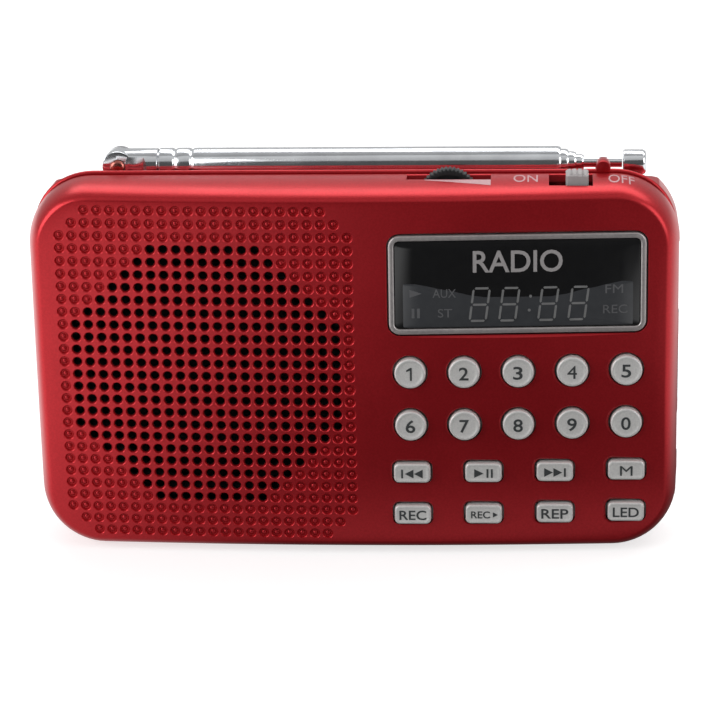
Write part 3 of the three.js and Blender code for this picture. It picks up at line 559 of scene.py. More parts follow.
# Near-black finish of the speaker frame: black paint, and also painted shade behind the grille holes.
BLACK_PAINT_AND_SHADE = moulded("black_paint_and_painted_shade", (0.008, 0.008, 0.009), 0.5, 0.006, 900)
STEEL = metal("pressed_steel", (0.52, 0.52, 0.53), 0.34, (0.2, 1, 1))
SOCKET = metal("socket_steel", (0.60, 0.60, 0.61), 0.26, (0.2, 1, 1))
SCREW = metal("screw_steel", (0.42, 0.42, 0.44), 0.3)
CHROME = metal("antenna_chrome", (0.84, 0.86, 0.89), 0.16, (0.15, 6, 6), 0.0005)
RIVET = metal("rivet_copper", (0.48, 0.16, 0.13), 0.28)
BRASS = metal("contact_brass", (0.70, 0.48, 0.16), 0.28)
PAPER = cone_paper()
FERRITE = moulded("ferrite", (0.035, 0.035, 0.04), 0.55, 0.01, 1500)
WRAP = battery_wrap()
LENS = clear_plastic("lens_clear", (0.92, 0.95, 0.97))
LED = clear_plastic("led_clear", (0.95, 0.95, 0.90))
RED_WIRE = moulded("wire_red", (0.38, 0.015, 0.01), 0.45, 0.002)
BLACK_WIRE = moulded("wire_black", (0.012, 0.012, 0.012), 0.45, 0.002)
DISPLAY = moulded("display_grey", (0.05, 0.05, 0.052), 0.4)

# ==== Keys ====

DIGITS = "1234567890"
DIGIT_KEYS = [
    (f"key_{digit}", DIGIT_COLUMNS[0] + (i % 5) * DIGIT_COLUMNS[1], KEY_ROWS[i // 5])
    for i, digit in enumerate(DIGITS)
]
WIDE_NAMES = ["previous", "play", "next", "mode", "record", "record_play", "repeat", "light"]
WIDE_KEYS = [
    (f"key_{name}", WIDE_COLUMNS[0] + (i % 4) * WIDE_COLUMNS[1], KEY_ROWS[2 + i // 4])
    for i, name in enumerate(WIDE_NAMES)
]
# Each step is how far in from the edge, and how far behind the proudest point of the key.
KEY_RIM = [(0, 0.5), (0, 0.34), (0.04, 0.18), (0.15, 0.06), (0.3, 0), (0.42, 0.0), (0.56, 0.05), (0.7, 0.12)]
KEY_DISH = 0.14
KEY_TAPER = 0.1                    # the sides draw in this far towards the top


def flange_front(x, z, half_width, half_height):
    return crown(x + half_width, MID_HEIGHT + abs(z - MID_HEIGHT) + half_height) + FRONT_WALL + 0.1


def round_key(x, z):
    """A cap with a rounded rim and a shallow dished top, on its flange and plunger."""
    face = crown(x, z) - KEY_PROUD
    flange = flange_front(x, z, KEY_RADIUS + 0.7, KEY_RADIUS + 0.7)
    top = [(0, face + KEY_DISH + 0.03), (1.1, face + KEY_DISH + 0.02), (1.9, face + KEY_DISH)]
    rim = [(KEY_RADIUS - KEY_TAPER - inset, face + fall) for inset, fall in reversed(KEY_RIM)]
    back = [
        (KEY_RADIUS, flange), (KEY_RADIUS + 0.7, flange), (KEY_RADIUS + 0.7, flange + 0.5),
        (1.6, flange + 0.5), (1.6, KEY_BACK), (0, KEY_BACK),
    ]
    return turned_y(x, z, top + rim + back, 48)


def wide_key(x, z):
    width, height, _ = WIDE_KEY
    face = crown(x, z) - KEY_PROUD
    flange = flange_front(x, z, width / 2 + 0.6, height / 2 + 0.45)
    flange_back = min(flange + 0.5, KEY_BACK)
    levels = [(1.3, face + KEY_DISH + 0.02), (0.95, face + KEY_DISH)]
    levels += [(KEY_TAPER + inset, face + fall) for inset, fall in reversed(KEY_RIM)]
    levels += [(0, flange), (-0.35, flange), (-0.35, flange_back - 0.02), (0.5, flange_back - 0.01)]
    levels.append((0.6, KEY_BACK))
    return loft(inset_rings(x, z, WIDE_KEY, levels, shrink=0.8))


# ==== Printing: thin solids laid on a surface ====


def lettering(text, width, height, weight=0.0, strips=0):
    """Flat letters filling a width and height about the origin, as (u, v, layer) points and faces.
    Strips cuts them across into that many bands, so that they can follow a curved surface."""
    curve = bpy.data.curves.new("lettering", "FONT")
    curve.body = text
    curve.extrude = 0.5
    curve.offset = weight
    curve.resolution_u = 4
    holder = bpy.data.objects.new("lettering", curve)
    scene.collection.objects.link(holder)
    bpy.context.view_layer.update()
    mesh = holder.to_mesh()
    work = bmesh.new()
    work.from_mesh(mesh)
    bmesh.ops.remove_doubles(work, verts=work.verts, dist=1e-5)
    bmesh.ops.dissolve_degenerate(work, edges=work.edges, dist=1e-6)
    bottom = min(v.co.y for v in work.verts)
    rise = max(v.co.y for v in work.verts) - bottom
    for i in range(1, strips):
        bmesh.ops.bisect_plane(work, geom=work.verts[:] + work.edges[:] + work.faces[:],
                               plane_co=(0, bottom + rise * i / strips, 0), plane_no=(0, 1, 0))
    work.verts.index_update()
    co = np.array([v.co for v in work.verts])
    faces = [tuple(v.index for v in f.verts) for f in work.faces]
    work.free()
    holder.to_mesh_clear()
    bpy.data.objects.remove(holder)
    bpy.data.curves.remove(curve)
    low, high = co[:, :2].min(0), co[:, :2].max(0)
    flat = (co[:, :2] - (low + high) / 2) / (high - low) * np.array([width, height])
    return [(u, v, 1 if layer > 0 else 0) for (u, v), layer in zip(flat, co[:, 2])], faces


def plates(polygons):
    """Convex polygons as (u, v, layer) points and faces, layer 1 being the outer side."""
    return join([
        loft([[(u, v, layer) for u, v in polygon] for layer in (1, 0)]) for polygon in polygons
    ])


def on_front(shape, x, z, surface, proud=0.03, sunk=0.05):
    points = []
    for u, v, layer in shape[0]:
        depth = surface(x + u, z + v)
        points.append((x + u, depth - proud if layer > 0.5 else depth + sunk, z + v))
    return points, shape[1]


def on_top(shape, x, y, surface, proud=0.03, sunk=0.05):
    """Printing on the top of the casing, read from in front: v runs towards the back."""
    points = []
    for u, v, layer in shape[0]:
        height = surface(x + u, y + v)
        points.append((x + u, y + v, height + proud if layer > 0.5 else height - sunk))
    return points, shape[1]


def triangle(centre, half_width, half_height, direction):
    return [
        (centre - direction * half_width, -half_height),
        (centre + direction * half_width, 0),
        (centre - direction * half_width, half_height),
    ]


def bar(centre, half_width, half_height):
    return [
        (centre - half_width, -half_height), (centre + half_width, -half_height),
        (centre + half_width, half_height), (centre - half_width, half_height),
    ]


def digit_label(digit):
    if digit == "1":
        return plates([
            bar(0.22, 0.17, 1.25),
            [(0.05, 0.72), (0.05, 1.2), (-0.62, 0.78), (-0.62, 0.45)],
        ])
    return lettering(digit, 1.75, 2.5, 0.0 if digit == "4" else 0.012)


def wide_key_label(name):
    """A player's sign, made of bars and arrowheads of one height, or a word."""
    tall = 0.85

    def post(centre):
        return bar(centre, 0.17, tall)

    signs = {
        "previous": [post(-1.85), triangle(-0.55, 0.8, tall, -1), triangle(1.15, 0.8, tall, -1)],
        "next": [post(1.85), triangle(0.55, 0.8, tall, 1), triangle(-1.15, 0.8, tall, 1)],
        "play": [triangle(-0.85, tall, tall, 1), post(0.75), post(1.55)],
    }
    words = {"mode": ("M", 2.3), "record": ("REC", 5.0), "repeat": ("REP", 5.0), "light": ("LED", 4.8)}
    if name in signs:
        return plates(signs[name])
    if name in words:
        text, width = words[name]
        return lettering(text, width, 1.9, 0.0 if text == "M" else 0.012)
    points, faces = lettering("REC", 3.5, 1.4, 0.012)
    arrow = plates([triangle(2.15, 0.45, 0.5, 1)])
    return join([([(u - 0.6, v, layer) for u, v, layer in points], faces), arrow])


def make_keys():
    keys = [(key, round_key, digit_label(digit), -0.05, -0.1) for key, digit in zip(DIGIT_KEYS, DIGITS)]
    keys += [(key, wide_key, wide_key_label(plain), 0, -0.12) for key, plain in zip(WIDE_KEYS, WIDE_NAMES)]
    for (name, x, z), cap, label, right, up in keys:
        face = crown(x, z) - KEY_PROUD + KEY_DISH
        shape = on_front(label, x + right, z + up, lambda u, v, y=face: y)
        piece(name + "_cap", cap(x, z), name + "_body", KEY, [name])
        piece(name + "_print", shape, name + "_body", KEY_INK)


# ==== Front shell ====

FACE_SCALES = [0.07, 0.16, 0.26, 0.36, 0.46, 0.56, 0.66, 0.75, 0.84, 0.92, 0.97, 1.0]
FILLET_DEGREES = [4, 8, 12, 17, 22, 28, 34, 41, 48, 56, 64, 73, 82, 90]


def front_outside():
    return face_rings(0, 0, FACE_SCALES) + [fillet_ring(0, 0, d) for d in FILLET_DEGREES]


def front_skin():
    back = SEAM - SEAM_HALF_GAP
    seam = [flat_ring(0, back - 0.14), flat_ring(0.14, back), flat_ring(SIDE_WALL, back)]
    inner = [fillet_ring(SIDE_WALL, FRONT_WALL, d) for d in (82, 70, 58, 46, 34, 22, 11, 0)]
    inner += face_rings(SIDE_WALL, FRONT_WALL, (0.8, 0.55, 0.3, 0.1))
    return loft(front_outside()[:-1] + seam + inner)


def grille_tools():
    """A countersunk drill for every hole of the grille, and a blunt one for the dimples round it."""
    tools = []
    for row, column in itertools.product(range(-13, 14), range(-11, 12)):
        ring = abs(row) + abs(column)
        if ring > 22:
            continue
        x, z = SPEAKER_X + HOLE_PITCH * column, SPEAKER_Z + HOLE_PITCH * row
        y = crown(x, z)
        drill = [(0, y - 1), (1.09, y - 1), (1.07, y), (0.98, y + 0.07), (0.88, y + 0.2), (0.78, y + 0.42)]
        if max(abs(row), abs(column)) <= 10 and ring <= 14:
            drill += [(0.74, y + 0.6), (0.74, y + 2.2), (0, y + 2.2)]
        else:
            drill += [(0.68, y + 0.56), (0.56, y + 0.56), (0.42, y + 0.42), (0.24, y + 0.31), (0, y + 0.27)]
        tools.append(turned_y(x, z, drill, 18))
    return join(tools)


def key_hole_tools():
    tools = []
    for _, x, z in DIGIT_KEYS:
        y = crown(x, z)
        reach = KEY_RADIUS + GAP
        profile = [(0, y - 1), (reach + 1.15, y - 1), (reach, y + 0.15), (reach, y + 4), (0, y + 4)]
        tools.append(turned_y(x, z, profile, 48))
    width, height, radius = WIDE_KEY
    size = (width + 2 * GAP, height + 2 * GAP, radius + GAP)
    for _, x, z in WIDE_KEYS:
        y = crown(x, z)
        tools.append(loft(inset_rings(x, z, size, [(-1.15, y - 1), (0, y + 0.15), (0, y + 4)])))
    return join(tools)


def window_tool():
    levels = [(-GAP - 1.12, -1), (-GAP, 0.12), (-GAP, 6)]
    return loft(inset_rings(BEZEL_X, BEZEL_Z, BEZEL_SIZE, levels, 8, on_crown=True))


def side_port_tools():
    socket_front = BOARD_BACK + GAP
    tools = []
    for bottom, top, depth in SIDE_SOCKETS:
        tools.append(block(HALF_WIDTH - 4, 2 * FAR, socket_front - GAP, socket_front + depth + GAP,
                           bottom - GAP, top + GAP))
    tools.append(rod_x(JACK_Y, JACK_Z, 2.8, HALF_WIDTH - 4, 2 * FAR))
    return join(tools)


def make_front_shell():
    smooth = Surface(loft(front_outside() + [flat_ring(0, FILLET_DEPTH + 1.5)]))
    shell = make_object("front_shell_skin", front_skin())
    inner, back = SPEAKER_RADIUS + GAP, SPEAKER_FRONT + 1
    ring = turned_y(SPEAKER_X, SPEAKER_Z, [
        (inner, FRONT_WALL), (inner + 1, FRONT_WALL), (inner + 1, back), (inner, back),
    ], 64)
    posts = [rod_y(x, z, 2, crown(x, z) + 0.6, SEAM + 0.8) for x, z in CASE_SCREWS]
    posts += [rod_y(x, z, 1.7, 0.9, 6.7) for x, z in BOARD_SCREWS]
    inside = loft([
        *[[(x, y + 0.5, z) for x, y, z in r] for r in face_rings(0.5, 0, (0.2, 0.6, 1.0))],
        *[[(x, y + 0.5, z) for x, y, z in fillet_ring(0.5, 0, d)] for d in (10, 30, 60)],
        flat_ring(0.5, 12),
    ])
    combine(shell, "UNION", [carved(ring, "INTERSECT", [inside]), join(posts)])
    pilots = [rod_y(x, z, 1.15, 7.6, FAR, 20) for x, z in CASE_SCREWS]
    pilots += [rod_y(x, z, 0.95, 3.2, FAR, 20) for x, z in BOARD_SCREWS]
    top = HEIGHT - 6
    combine(shell, "DIFFERENCE", [
        join(pilots),
        grille_tools(),
        key_hole_tools(),
        window_tool(),
        *[block(left, right, front, FAR, top, 2 * FAR) for left, right, front in (WHEEL_SLOT, SLIDER_SLOT)],
        side_port_tools(),
    ])
    finish_piece(shell, "front_shell_skin", "casing", [CASING, BARE_AND_SHADE], ["front_shell"],
                 surface=smooth)
    return smooth


# ==== Rear shell and battery cover ====

REAR_ROUND = 2.0
SEAM_BEAD = (3.0, 0.4)


def rear_outer(first_rings):
    rings = list(first_rings)
    rings.append(flat_ring(0, DEPTH - REAR_ROUND))
    for degrees in (12, 24, 36, 48, 60, 72, 82, 90):
        turn = math.radians(degrees)
        rings.append(flat_ring(REAR_ROUND * (1 - math.cos(turn)), DEPTH - REAR_ROUND * (1 - math.sin(turn))))
    edge = outline(REAR_ROUND)
    for scale in (0.9, 0.6, 0.3):
        rings.append([(scale * x, DEPTH, MID_HEIGHT + scale * (z - MID_HEIGHT)) for x, z in edge])
    return rings


def channel_tool():
    """The antenna's channel, with the front edge of its mouth rounded."""
    radius = 1.0
    ring = [(CHANNEL_FRONT, CHANNEL_FLOOR), (FAR, CHANNEL_FLOOR), (FAR, 2 * FAR),
            (CHANNEL_FRONT - radius - 0.02, 2 * FAR)]
    for degrees in (0, 15, 30, 45, 60, 75, 90):
        turn = math.radians(degrees)
        ring.append((CHANNEL_FRONT - radius + radius * math.sin(turn) - (0.02 if degrees == 0 else 0),
                     HEIGHT - radius + radius * math.cos(turn)))
    return loft([[(x, y, z) for y, z in ring] for x in (-2 * FAR, 2 * FAR)])


def clip_arm(front, back, top):
    """One round-topped arm of the clip that holds the antenna, with its edges softened."""
    half = CLIP_HALF_WIDTH
    ring = [(-half, CHANNEL_FLOOR - 1), (half, CHANNEL_FLOOR - 1)]
    for i in range(17):
        angle = math.pi * i / 16
        ring.append((half * math.cos(angle), top - half + half * math.sin(angle)))
    rings = []
    for inset, y in ((0.25, front), (0.08, front + 0.08), (0, front + 0.25),
                     (0, back - 0.25), (0.08, back - 0.08), (0.25, back)):
        narrow = 1 - inset / half
        rings.append([(CLIP_X + u * narrow, y, z - (inset if z > top - half else 0)) for u, z in ring])
    return loft(rings)


def top_bead():
    """A raised bead along the top in front of the antenna, which sinks into the wall past the corners."""
    radius, y, sunk, fade_start, fade_length = 0.55, 12.6, 0.85, 2.0, 9.0
    rings = []
    for i in range(20):
        angle = 2 * math.pi * i / 20
        inset, depth = 0.05 - radius * math.cos(angle), y + radius * math.sin(angle)
        ring = []
        for (x, _, z), (deep_x, _, deep_z) in zip(flat_ring(inset, depth), flat_ring(inset + sunk, depth)):
            fade = min(max((HEIGHT - fade_start - z) / fade_length, 0), 1)
            ring.append((x + fade * (deep_x - x), depth, z + fade * (deep_z - z)))
        rings.append(ring)
    return loft(rings, closed=True)


def seam_lip():
    front, back = SEAM - 1.3, SEAM + 1.3
    rings = [flat_ring(SIDE_WALL + GAP, front), flat_ring(SIDE_WALL + GAP, SEAM + SEAM_HALF_GAP),
             flat_ring(SIDE_WALL - 0.6, SEAM + SEAM_HALF_GAP), flat_ring(SIDE_WALL - 0.6, back),
             flat_ring(SIDE_WALL + 1.1, back), flat_ring(SIDE_WALL + 1.1, front)]
    return loft(rings, closed=True)


def make_rear_shell():
    start = SEAM + SEAM_HALF_GAP
    bead_depth, bead_fall = SEAM_BEAD
    first = []
    for degrees in (0, 12, 24, 36, 48, 60, 75, 90):
        turn = math.radians(degrees)
        first.append(flat_ring(bead_fall * (1 - math.sin(turn)), start + bead_depth * (1 - math.cos(turn))))
    smooth = Surface(loft(rear_outer(first)))
    shell = make_object("rear_shell_skin", loft(rear_outer(first)))
    hollow = carved(
        loft([flat_ring(SIDE_WALL, SEAM - 1), flat_ring(SIDE_WALL, DEPTH - SIDE_WALL)]), "DIFFERENCE",
        [block(-2 * FAR, 2 * FAR, CHANNEL_FRONT - SIDE_WALL, FAR, CHANNEL_FLOOR - SIDE_WALL, 2 * FAR)],
    )
    combine(shell, "DIFFERENCE", [hollow, channel_tool()])
    left, right, bottom, top = BATTERY
    wall = 1.6 + GAP
    lip = carved(seam_lip(), "DIFFERENCE", [
        join([rod_y(x, z, 2 + GAP, 9, 13.6) for x, z in CASE_SCREWS]),
        block(WHEEL_SLOT[0] - 3, CASE_SCREWS[3][0] + 4, 9, 13.6, HEIGHT - 11, HEIGHT),
    ])
    posts = [rod_y(x, z, 2.4, SEAM + 1.1, DEPTH - SIDE_WALL + 0.2) for x, z in CASE_SCREWS]
    combine(shell, "UNION", [
        top_bead(),
        *[clip_arm(*arm) for arm in CLIP_ARMS],
        block(left - wall, right + wall, 13.6, COVER_FRONT + 0.1, bottom - wall, top + wall),
        lip,
        join(posts),
    ])
    ledge = 1.1 + GAP
    middle_z = (bottom + top) / 2
    blades = [
        block(left - 3.6, left, 16.2, 18.6, middle_z + o - 1.1, middle_z + o + 1.1) for o in (-5, 0, 5)
    ]
    shanks = [rod_y(x, z, 1.25, SEAM, FAR) for x, z in CASE_SCREWS]
    head = [(0, 19.6), (2.2, 19.6), (2.2, 21.7), (2.5, DEPTH), (2.5, FAR), (0, FAR)]
    heads = [turned_y(x, z, head, 32) for x, z in CASE_SCREWS]
    combine(shell, "DIFFERENCE", [
        block(left - GAP, right + GAP, 14.4, FAR, bottom - GAP, top + GAP),
        block(left - ledge, right + ledge, COVER_FRONT - 0.1, FAR, bottom - ledge, top + ledge),
        join(blades),
        join(shanks),
        join(heads),
        side_port_tools(),
        rod_x(TORCH_Y, TORCH_Z, TORCH_RADIUS + GAP, -HALF_WIDTH - 2, -HALF_WIDTH + 4),
        block(-42.3, -38.7, 16.7, 18.3, 63.7, CHANNEL_FLOOR + 0.5),
    ])
    finish_piece(shell, "rear_shell_skin", "casing", [CASING, BARE_AND_SHADE], ["rear_shell"],
                 surface=smooth,
                 keep_lacquer=lambda place: place.z > CHANNEL_FLOOR - 0.1 and place.y > CHANNEL_FRONT - 2.5)


def make_battery_cover():
    left, right, bottom, top = BATTERY
    x, z = (left + right) / 2, (bottom + top) / 2
    width, height = right - left + 2.2, top - bottom + 2.2
    levels = [(0.1, COVER_FRONT), (0, COVER_FRONT + 0.1), (0, DEPTH - 0.3), (0.08, DEPTH - 0.1), (0.3, DEPTH),
              (0.6, DEPTH)]
    plate = loft(inset_rings(x, z, (width, height, 0.8), levels, 5, shrink=0))
    notch = turned_x(DEPTH + 4.3, top - 2, [
        (0, x - 6), (4.4, x - 6), (5, x - 5.4), (5, x + 5.4), (4.4, x + 6), (0, x + 6),
    ], 64)
    grooves = []
    for i in range(5):
        reach, groove = 5.5 - 0.4 * i, top - 6.2 - 1.2 * i
        grooves.append(block(x - reach, x + reach, DEPTH - 0.3, DEPTH + 1, groove, groove + 0.6))
    piece("battery_cover_plate", plate, "cover", CASING, ["battery_cover"],
          cut=[notch, join(grooves)])


# ==== Display ====


def make_bezel():
    profile = [
        (0, 1.6), (0, 0.0), (0.03, -0.1), (0.12, -0.2), (0.28, -0.25), (0.7, -0.25), (0.88, -0.19),
        (0.98, -0.08), (1.0, 0.05), (1.0, 1.55), (2.0, 1.55), (2.0, 2.15), (-0.55, 2.15), (-0.55, 1.6),
    ]
    rings = inset_rings(BEZEL_X, BEZEL_Z, BEZEL_SIZE, profile, 8, least=0.6, on_crown=True)
    piece("display_bezel_ring", loft(rings, closed=True), "casing", BEZEL, ["display_bezel"])


def crowned_plate(x, z, width, height, radius, front, back, edge):
    """A plate that follows the crown of the face, with a softened front edge."""
    rings = [(scale, edge, front) for scale in (0.15, 0.4, 0.65, 0.85, 1)]
    rings += [(1, edge * 0.3, front + edge * 0.3), (1, 0, front + edge)]
    rings += [(scale, 0, back) for scale in (1, 0.8, 0.5, 0.15)]
    shape = []
    for scale, inset, depth in rings:
        rect = rounded_rectangle(0, 0, width - 2 * inset, height - 2 * inset, radius - inset, 6)
        ring = [(x + scale * u, z + scale * v) for u, v in rect]
        shape.append([(px, crown(px, pz) + depth, pz) for px, pz in ring])
    return loft(shape)


def seven_segments():
    """One slanted figure eight made of seven bars, as plates about the origin."""
    half_width, half_height, thick, slant = 1.45, 3.05, 0.2, 0.13
    polygons = []
    for v in (-half_height, 0, half_height):
        reach = half_width - 0.35
        polygons.append([(-reach - 0.18, v), (-reach, v - thick), (reach, v - thick), (reach + 0.18, v),
                         (reach, v + thick), (-reach, v + thick)])
    for u in (-half_width, half_width):
        for low, high in ((-half_height + 0.32, -0.32), (0.32, half_height - 0.32)):
            polygons.append([(u, low - 0.1), (u + thick, low + 0.1), (u + thick, high - 0.1), (u, high + 0.1),
                             (u - thick, high - 0.1), (u - thick, low + 0.1)])
    return plates([[(u + slant * v, v) for u, v in polygon] for polygon in polygons])


def make_display():
    make_bezel()
    width, height = BEZEL_WIDTH - 2.3, BEZEL_HEIGHT - 2.3
    window = crowned_plate(BEZEL_X, BEZEL_Z, width, height, 0.9, 0, 1.4, 0.12)
    piece("display_window_pane", window, "casing", WINDOW, ["display_window"])
    left, right, bottom, top = SCREEN
    screen = crowned_plate((left + right) / 2, (bottom + top) / 2, right - left, top - bottom, 0.3,
                           -0.012, 0.3, 0.01)
    piece("display_screen", screen, "casing", SCREEN_GREY)
    title = on_front(lettering("RADIO", 16.2, 4.1, 0.012), BEZEL_X + 0.1, 57.35, crown, 0.015)
    piece("display_title", title, "casing", TITLE_INK)
    dot = plates([[(0.28 * math.cos(a), 0.28 * math.sin(a)) for a in np.linspace(0, 5.6, 9)]])
    digits = [on_front(seven_segments(), x, 49.35, crown, 0.02) for x in (23.4, 28.75, 35.8, 41.25)]
    digits += [on_front(dot, x, z, crown, 0.02) for x, z in ((32.6, 50.8), (32.35, 48.2))]
    piece("display_digits", join(digits), "casing", SEGMENT_GREY)
    words = [
        (plates([triangle(0, 1.1, 0.75, 1)]), 11.8, 51.5),
        (plates([bar(-0.5, 0.25, 0.9), bar(0.5, 0.25, 0.9)]), 11.8, 47.8),
        (lettering("AUX", 4.2, 1.6), 17.0, 51.5),
        (lettering("ST", 2.6, 1.6), 17.1, 47.8),
        (lettering("FM", 3.2, 1.6), 47.7, 51.9),
        (lettering("REC", 4.4, 1.6), 47.9, 48.1),
    ]
    words = join([on_front(shape, x, z, crown, 0.02) for shape, x, z in words])
    piece("display_words", words, "casing", WORD_GREY)


# ==== Controls on the top ====


def make_top_prints(surface):
    """The words beside the power slider, and the wedge in front of the volume wheel."""
    left, width, back, thin, deep = 13.4, 12.0, 7.8, 0.2, 2.3
    columns, rows = 12, 4

    def corner(column, row):
        along = column / columns
        front = back - thin - (deep - thin) * along
        return left + width * along, front + (back - front) * row / rows

    cells = [
        [corner(i, k), corner(i + 1, k), corner(i + 1, k + 1), corner(i, k + 1)]
        for i in range(columns) for k in range(rows)
    ]
    on = on_top(lettering("ON", 4.4, 3.5, 0.0, 12), 31.7, 8.5, surface.height)
    off = on_top(lettering("OFF", 4.7, 3.5, 0.0, 12), 49.0, 8.4, surface.height)
    piece("power_print", join([on, off]), "casing", TOP_INK)
    piece("volume_print", on_top(plates(cells), 0, 0, surface.height), "casing", TOP_INK)


def make_wheel():
    ribs = 44
    rings = []
    for inset, y in ((0.35, WHEEL_FRONT), (0.12, WHEEL_FRONT + 0.12), (0, WHEEL_FRONT + 0.35),
                     (0, WHEEL_BACK - 0.35), (0.12, WHEEL_BACK - 0.12), (0.35, WHEEL_BACK)):
        ring = []
        for i in range(4 * ribs):
            angle = 2 * math.pi * i / (4 * ribs)
            reach = WHEEL_RADIUS - inset - (0.22 if i % 4 in (0, 1) else 0)
            ring.append((WHEEL_X + reach * math.cos(angle), y, WHEEL_Z + reach * math.sin(angle)))
        rings.append(ring)
    floor = WHEEL_FRONT + 0.3
    recess = turned_y(WHEEL_X, WHEEL_Z, [(2, 8), (4.3, 8), (4.3, floor), (2, floor)], 48)
    piece("volume_wheel_rim", loft(rings), "wheel", BLACK, ["volume_wheel"],
          cut=[rod_y(WHEEL_X, WHEEL_Z, 1.3, 8, 12), recess])


def make_slider():
    left, right, front, back, top = 38.95, 43.05, 6.2, 10.6, 72.15
    middle = (left + right) / 2
    knob = block(left, right, front, back, 67.3, top, 0.35)
    flange = block(left - 1.9, right + 1.9, front + 0.3, back, 67, 67.8)
    peg = block(middle - 1, middle + 1, 9.5, 10.4, 64.8, 67.2)
    grooves = [
        block(groove - 0.15, groove + 0.15, front - 1, back + 1, top - 0.25, top + 1)
        for groove in (middle - 1, middle, middle + 1)
    ]
    piece("power_slider_knob", knob, "slider", SLIDER, ["power_slider"],
          add=[flange, peg], cut=[join(grooves)])


# ==== Antenna ====


def tube_shape(radius, start, end, grooves=()):
    """A drawn tube whose mouth is rolled inwards, with pressed grooves round it."""
    inner = radius - TUBE_WALL
    outside = [(radius - 0.1, start), (radius, start + 0.12)]
    for place in grooves:
        outside += [(radius, place - 0.5), (radius - 0.12, place - 0.3), (radius - 0.26, place),
                    (radius - 0.12, place + 0.3), (radius, place + 0.5)]
    outside += [(radius, end - 0.9), (radius - 0.03, end - 0.5), (radius - 0.12, end - 0.2)]
    outside.append((radius - 0.25, end))
    inside = [(inner, end), (inner, start)]
    return turned_x(ANTENNA_Y, ANTENNA_Z, outside + inside, 48)


def make_antenna():
    front, back = ANTENNA_Y - 2.3, ANTENNA_Y + 2.3
    base = make_object("antenna_base_fork", turned_x(ANTENNA_Y, ANTENNA_Z, [
        (0, PIVOT_X), (2.93, PIVOT_X), (2.93, BASE_END - 0.15), (2.8, BASE_END), (2.35, BASE_END),
        (2.35, -30.2), (2.2, -30), (0, -30),
    ], 48))
    stations = [(PIVOT_X - 1, 0), (BASE_END - 2.6, 0), (BASE_END - 1.6, 1), (-20, 1)]
    flats = loft([
        [(x, front - grow, 60), (x, back + grow, 60), (x, back + grow, 80), (x, front - grow, 80)]
        for x, grow in stations
    ])
    combine(base, "INTERSECT", [flats])
    eye = [(0, front), (2.6, front), (2.85, front + 0.1), (2.93, front + 0.3), (2.93, back - 0.3),
           (2.85, back - 0.1), (2.6, back), (0, back)]
    combine(base, "UNION", [turned_y(PIVOT_X, ANTENNA_Z, eye, 48)])
    combine(base, "DIFFERENCE", [rod_y(PIVOT_X, ANTENNA_Z, 1.2, 10, 25, 32)])
    finish_piece(base, "antenna_base_fork", "antenna_mast", [CHROME], ["antenna_base"])

    def chrome(name, shape, body, node):
        piece(name, shape, body, CHROME, [node])

    for i, (radius, start, end) in enumerate(TUBES, 1):
        shape = tube_shape(radius, start, end, CRIMPS if i == 1 else ())
        body = "antenna_mast" if i == 1 else f"antenna_stage_{i}"
        chrome(f"antenna_stage_{i}_tube", shape, body, f"antenna_tube_{i}")
    rod = [(0, -28.4), (0.8, -28.4), (ROD_RADIUS, -28.2), (ROD_RADIUS, TIP_START - 0.2), (0, TIP_START - 0.2)]
    chrome("antenna_whip_rod", turned_x(ANTENNA_Y, ANTENNA_Z, rod, 32), "antenna_whip", "antenna_rod")
    r = TIP_RADIUS
    knob = [(0, TIP_START), (r - 0.35, TIP_START), (r - 0.08, TIP_START + 0.1), (r, TIP_START + 0.35),
            (r, TIP_END - 0.7), (r - 0.1, TIP_END - 0.35), (r - 0.35, TIP_END - 0.1), (r - 0.8, TIP_END),
            (0, TIP_END)]
    chrome("antenna_tip_knob", turned_x(ANTENNA_Y, ANTENNA_Z, knob, 48), "antenna_whip", "antenna_tip")
    head = ANTENNA_Y - 2.3 - 0.25
    pin = [(0, head - 0.65), (0.5, head - 0.63), (0.95, head - 0.55), (1.25, head - 0.38), (1.4, head - 0.15),
           (1.4, head), (0.9, head), (0.9, 21.7), (1.3, 21.7), (1.2, DEPTH - 0.05), (0, DEPTH)]
    rivet = turned_y(PIVOT_X, ANTENNA_Z, pin, 32)
    piece("antenna_rivet", rivet, "casing", RIVET, ["antenna_pivot_pin"])


# ==== Small parts ====


def make_screws():
    for i, (x, z) in enumerate(CASE_SCREWS, 1):
        profile = [(0, 8), (0.4, 8.1), (0.95, 8.8), (0.95, 19.9), (1.9, 19.9), (1.9, 20.6), (1.75, 21.0),
                   (1.3, 21.28), (0.7, 21.38), (0, 21.4)]
        cross = [
            block(x - wide, x + wide, 20.6, 25, z - tall, z + tall)
            for wide, tall in ((0.28, 1.25), (1.25, 0.28))
        ]
        piece(f"case_screw_{i}_cross", turned_y(x, z, profile, 32), "casing", SCREW,
              [f"case_screw_{i}"], cut=cross)


def make_torch():
    outside = -HALF_WIDTH + 0.05
    r = TORCH_RADIUS
    lens = turned_x(TORCH_Y, TORCH_Z, [
        (0, outside), (r - 0.9, outside + 0.02), (r - 0.3, outside + 0.12), (r, outside + 0.4),
        (r, outside + 1.8), (r + 0.7, outside + 1.8), (r + 0.7, outside + 2.4), (0, outside + 2.4),
    ], 40)
    piece("torch_lens_dome", lens, "casing", LENS, ["torch_lens"])
    start = -HALF_WIDTH + 2.8
    led = [(0, start), (0.5, start + 0.06), (0.95, start + 0.25), (1.3, start + 0.65), (1.5, start + 1.3),
           (1.5, start + 4), (1.8, start + 4), (1.8, start + 4.7), (0, start + 4.7)]
    piece("torch_led_bulb", turned_x(TORCH_Y, TORCH_Z, led, 32), "casing", LED, ["torch_led"])


